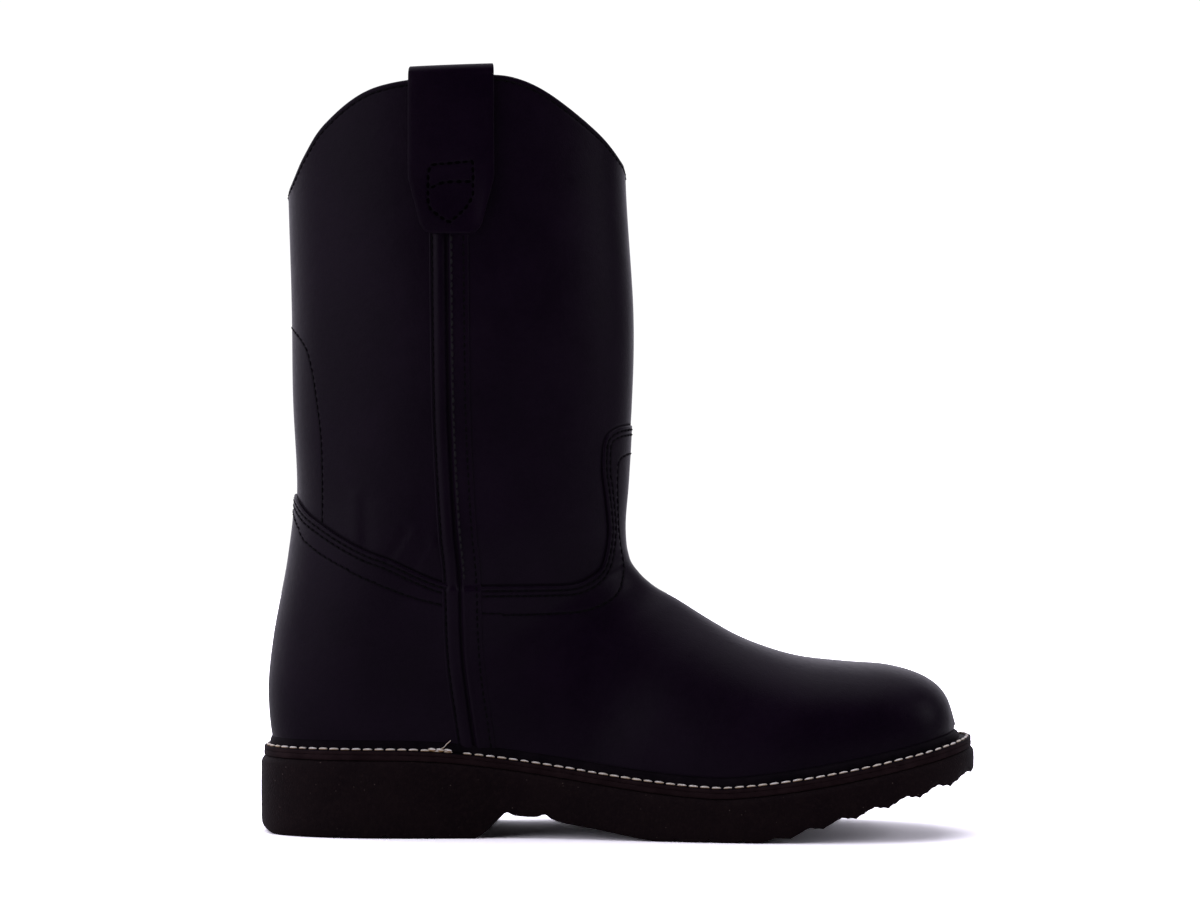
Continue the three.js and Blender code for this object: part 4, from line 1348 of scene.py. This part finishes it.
plain_rows = {
    "collar": collar_rows,
    "back": back_rows,
    "vamp": off_seam(vamp_rows, ROWS_CLEAR),
    "counter": off_seam(counter_rows, ROWS_CLEAR),
}
for name, chains in plain_rows.items():
    sew(name + "_stitches", chains, DASH_PITCH, DASH, 0.0, BLACK_THREAD)
sew("strap_stitches", strap_rows, DASH_PITCH, (2.4, 1.25, 0.9), -0.05, HOLE_THREAD)
sew(
    "seam_stitches", [rows[row] for rows in seam_rows.values() for row in ("a", "c")],
    DASH_PITCH, DASH, 0.02, BLACK_THREAD,
)
sew(
    "seam_bead_stitches", [rows["b"] for rows in seam_rows.values()],
    DASH_PITCH, (2.4, 0.95, 0.9), 0.12, WORN_THREAD,
)


KNOT = {"from": -81, "to": -70, "end": -76, "gap": 4.6}
LOOSE_END = [(0, 0.2, 0.9), (1.2, -0.5, 1.6), (2.6, -0.4, 2.4), (3.6, 0, 3.6), (5.2, 0.3, 5.0)]
LOOSE_OUT = (0.0, -1.0, 0.3)


def knot_chains(row):
    """The white seam starts and ends on the inner side: the run itself, a doubled run, a loose end."""
    near = (row[:, 1] < 0) & (row[:, 0] > KNOT["from"]) & (row[:, 0] < KNOT["to"])
    gap = np.nonzero((row[:, 1] < 0) & (row[:, 0] > KNOT["to"]) & (row[:, 0] < KNOT["to"] + KNOT["gap"]))[0]
    run = np.concatenate([row[gap[-1]:-1], row[: gap[0] + 1]])
    start = row[near][np.argmin(np.abs(row[near, 0] - KNOT["end"]))]
    loose = start + smooth(LOOSE_END, 40)
    return [(line, np.tile(out, (len(line), 1))) for line, out in [
        (run, UP), (row[near], UP), (loose, LOOSE_OUT),
    ]]


run, doubled, loose_end = knot_chains(welt_row)
sew(
    "doubled_stitches", [doubled], 3.2, (3.5, 1.6, 1.5), 1.2, PALE_THREAD, "welt_leather",
    wander=0.3, tilt=-0.15, seed=5,
)
sew("loose_thread", [loose_end], 0.45, (1.0, 0.42, 0.42), 0.0, PALE_THREAD, "welt_leather", wander=0.02)
sew(
    "welt_stitches", [run], WELT_PITCH, WELT_STITCH, 0.62, PALE_THREAD, "welt_leather",
    wander=0.05, tilt=0.09, seed=11,
)


# Floor, lights and camera
FLOOR_LIFT = {"near": 0.0, "far": 1.0}
FLOOR_GAIN = 2.15
FLOOR_HALF = 2.5
COOL_WHITE = (0.98, 0.94, 1.08)


def floor_material():
    """Matt white. For the camera it is lifted to the backdrop's white, least round the boot."""
    made = Surface("floor_white", (0.72, 0.72, 0.72), 0.9, 0.0)
    away = made.node("ShaderNodeVectorMath", {0: made.place}, operation="LENGTH").outputs["Value"]
    lift = made.ramp(away, 0.22, 0.6, FLOOR_LIFT["near"], FLOOR_LIFT["far"])
    lamp = made.node("ShaderNodeEmission", {"Strength": lift, "Color": (0.97, 0.94, 1)})
    bright = made.node("ShaderNodeBsdfDiffuse", {"Color": (FLOOR_GAIN, FLOOR_GAIN, FLOOR_GAIN)})
    both = made.node("ShaderNodeAddShader", {0: bright.outputs[0], 1: lamp.outputs[0]})
    made.show("Material Output", made.shader.outputs[0], both.outputs[0])
    return made.material


def stage_floor():
    mesh = bpy.data.meshes.new("floor")
    corners = [(x * FLOOR_HALF, y * FLOOR_HALF, 0) for x, y in ((-1, -1), (1, -1), (1, 1), (-1, 1))]
    mesh.from_pydata(corners, [], [(0, 1, 2, 3)])
    floor = bpy.data.objects.new("floor", mesh)
    bpy.context.scene.collection.objects.link(floor)
    mesh.materials.append(floor_material())


def softbox(name, place, aim, size, power):
    light = bpy.data.lights.new(name, "AREA")
    light.shape = "RECTANGLE"
    light.size, light.size_y = size
    light.energy = power
    light.color = COOL_WHITE
    lamp = bpy.data.objects.new(name, light)
    bpy.context.scene.collection.objects.link(lamp)
    lamp.location = place
    lamp.rotation_euler = (Vector(aim) - Vector(place)).to_track_quat("-Z", "Y").to_euler()


def studio():
    """White all round for the camera; for the boot, bright behind and above, dim in front."""
    world = bpy.data.worlds.new("studio")
    bpy.context.scene.world = world
    world.use_nodes = True
    made = Nodes(world.node_tree)
    around = made.node("ShaderNodeTexCoord").outputs["Generated"]
    axes = made.node("ShaderNodeSeparateXYZ", {0: around}).outputs
    behind = made.math("MULTIPLY_ADD", axes["X"], -0.5, axes["Y"])
    strength = made.ramp(behind, -0.2, 0.95, 0.012, 1.5)
    dim = made.node("ShaderNodeBackground", {"Color": COOL_WHITE, "Strength": strength})
    white = made.node("ShaderNodeBackground", {"Color": (1, 1, 1), "Strength": 1.05})
    made.show("World Output", dim.outputs[0], white.outputs[0])


stage_floor()
studio()
softbox("top_light", (0.0, 0.05, 2.2), (0, 0, 0.1), (2.6, 2.0), 23)
softbox("key_light", (-1.9, -1.45, 0.95), (0, 0, 0.15), (2.2, 1.7), 20)
softbox("fill_light", (2.0, -0.4, 1.05), (0.1, 0, 0.05), (1.0, 1.2), 10)

camera = bpy.data.cameras.new("camera")
camera.lens = LENS
camera.sensor_width = SENSOR
camera.clip_end = 100
eye = bpy.data.objects.new("camera", camera)
bpy.context.scene.collection.objects.link(eye)
eye.location = (CAMERA + MOVED) * MM
eye.rotation_euler = (math.pi / 2, 0, 0)
bpy.context.scene.camera = eye
bpy.context.scene.view_settings.view_transform = "Standard"
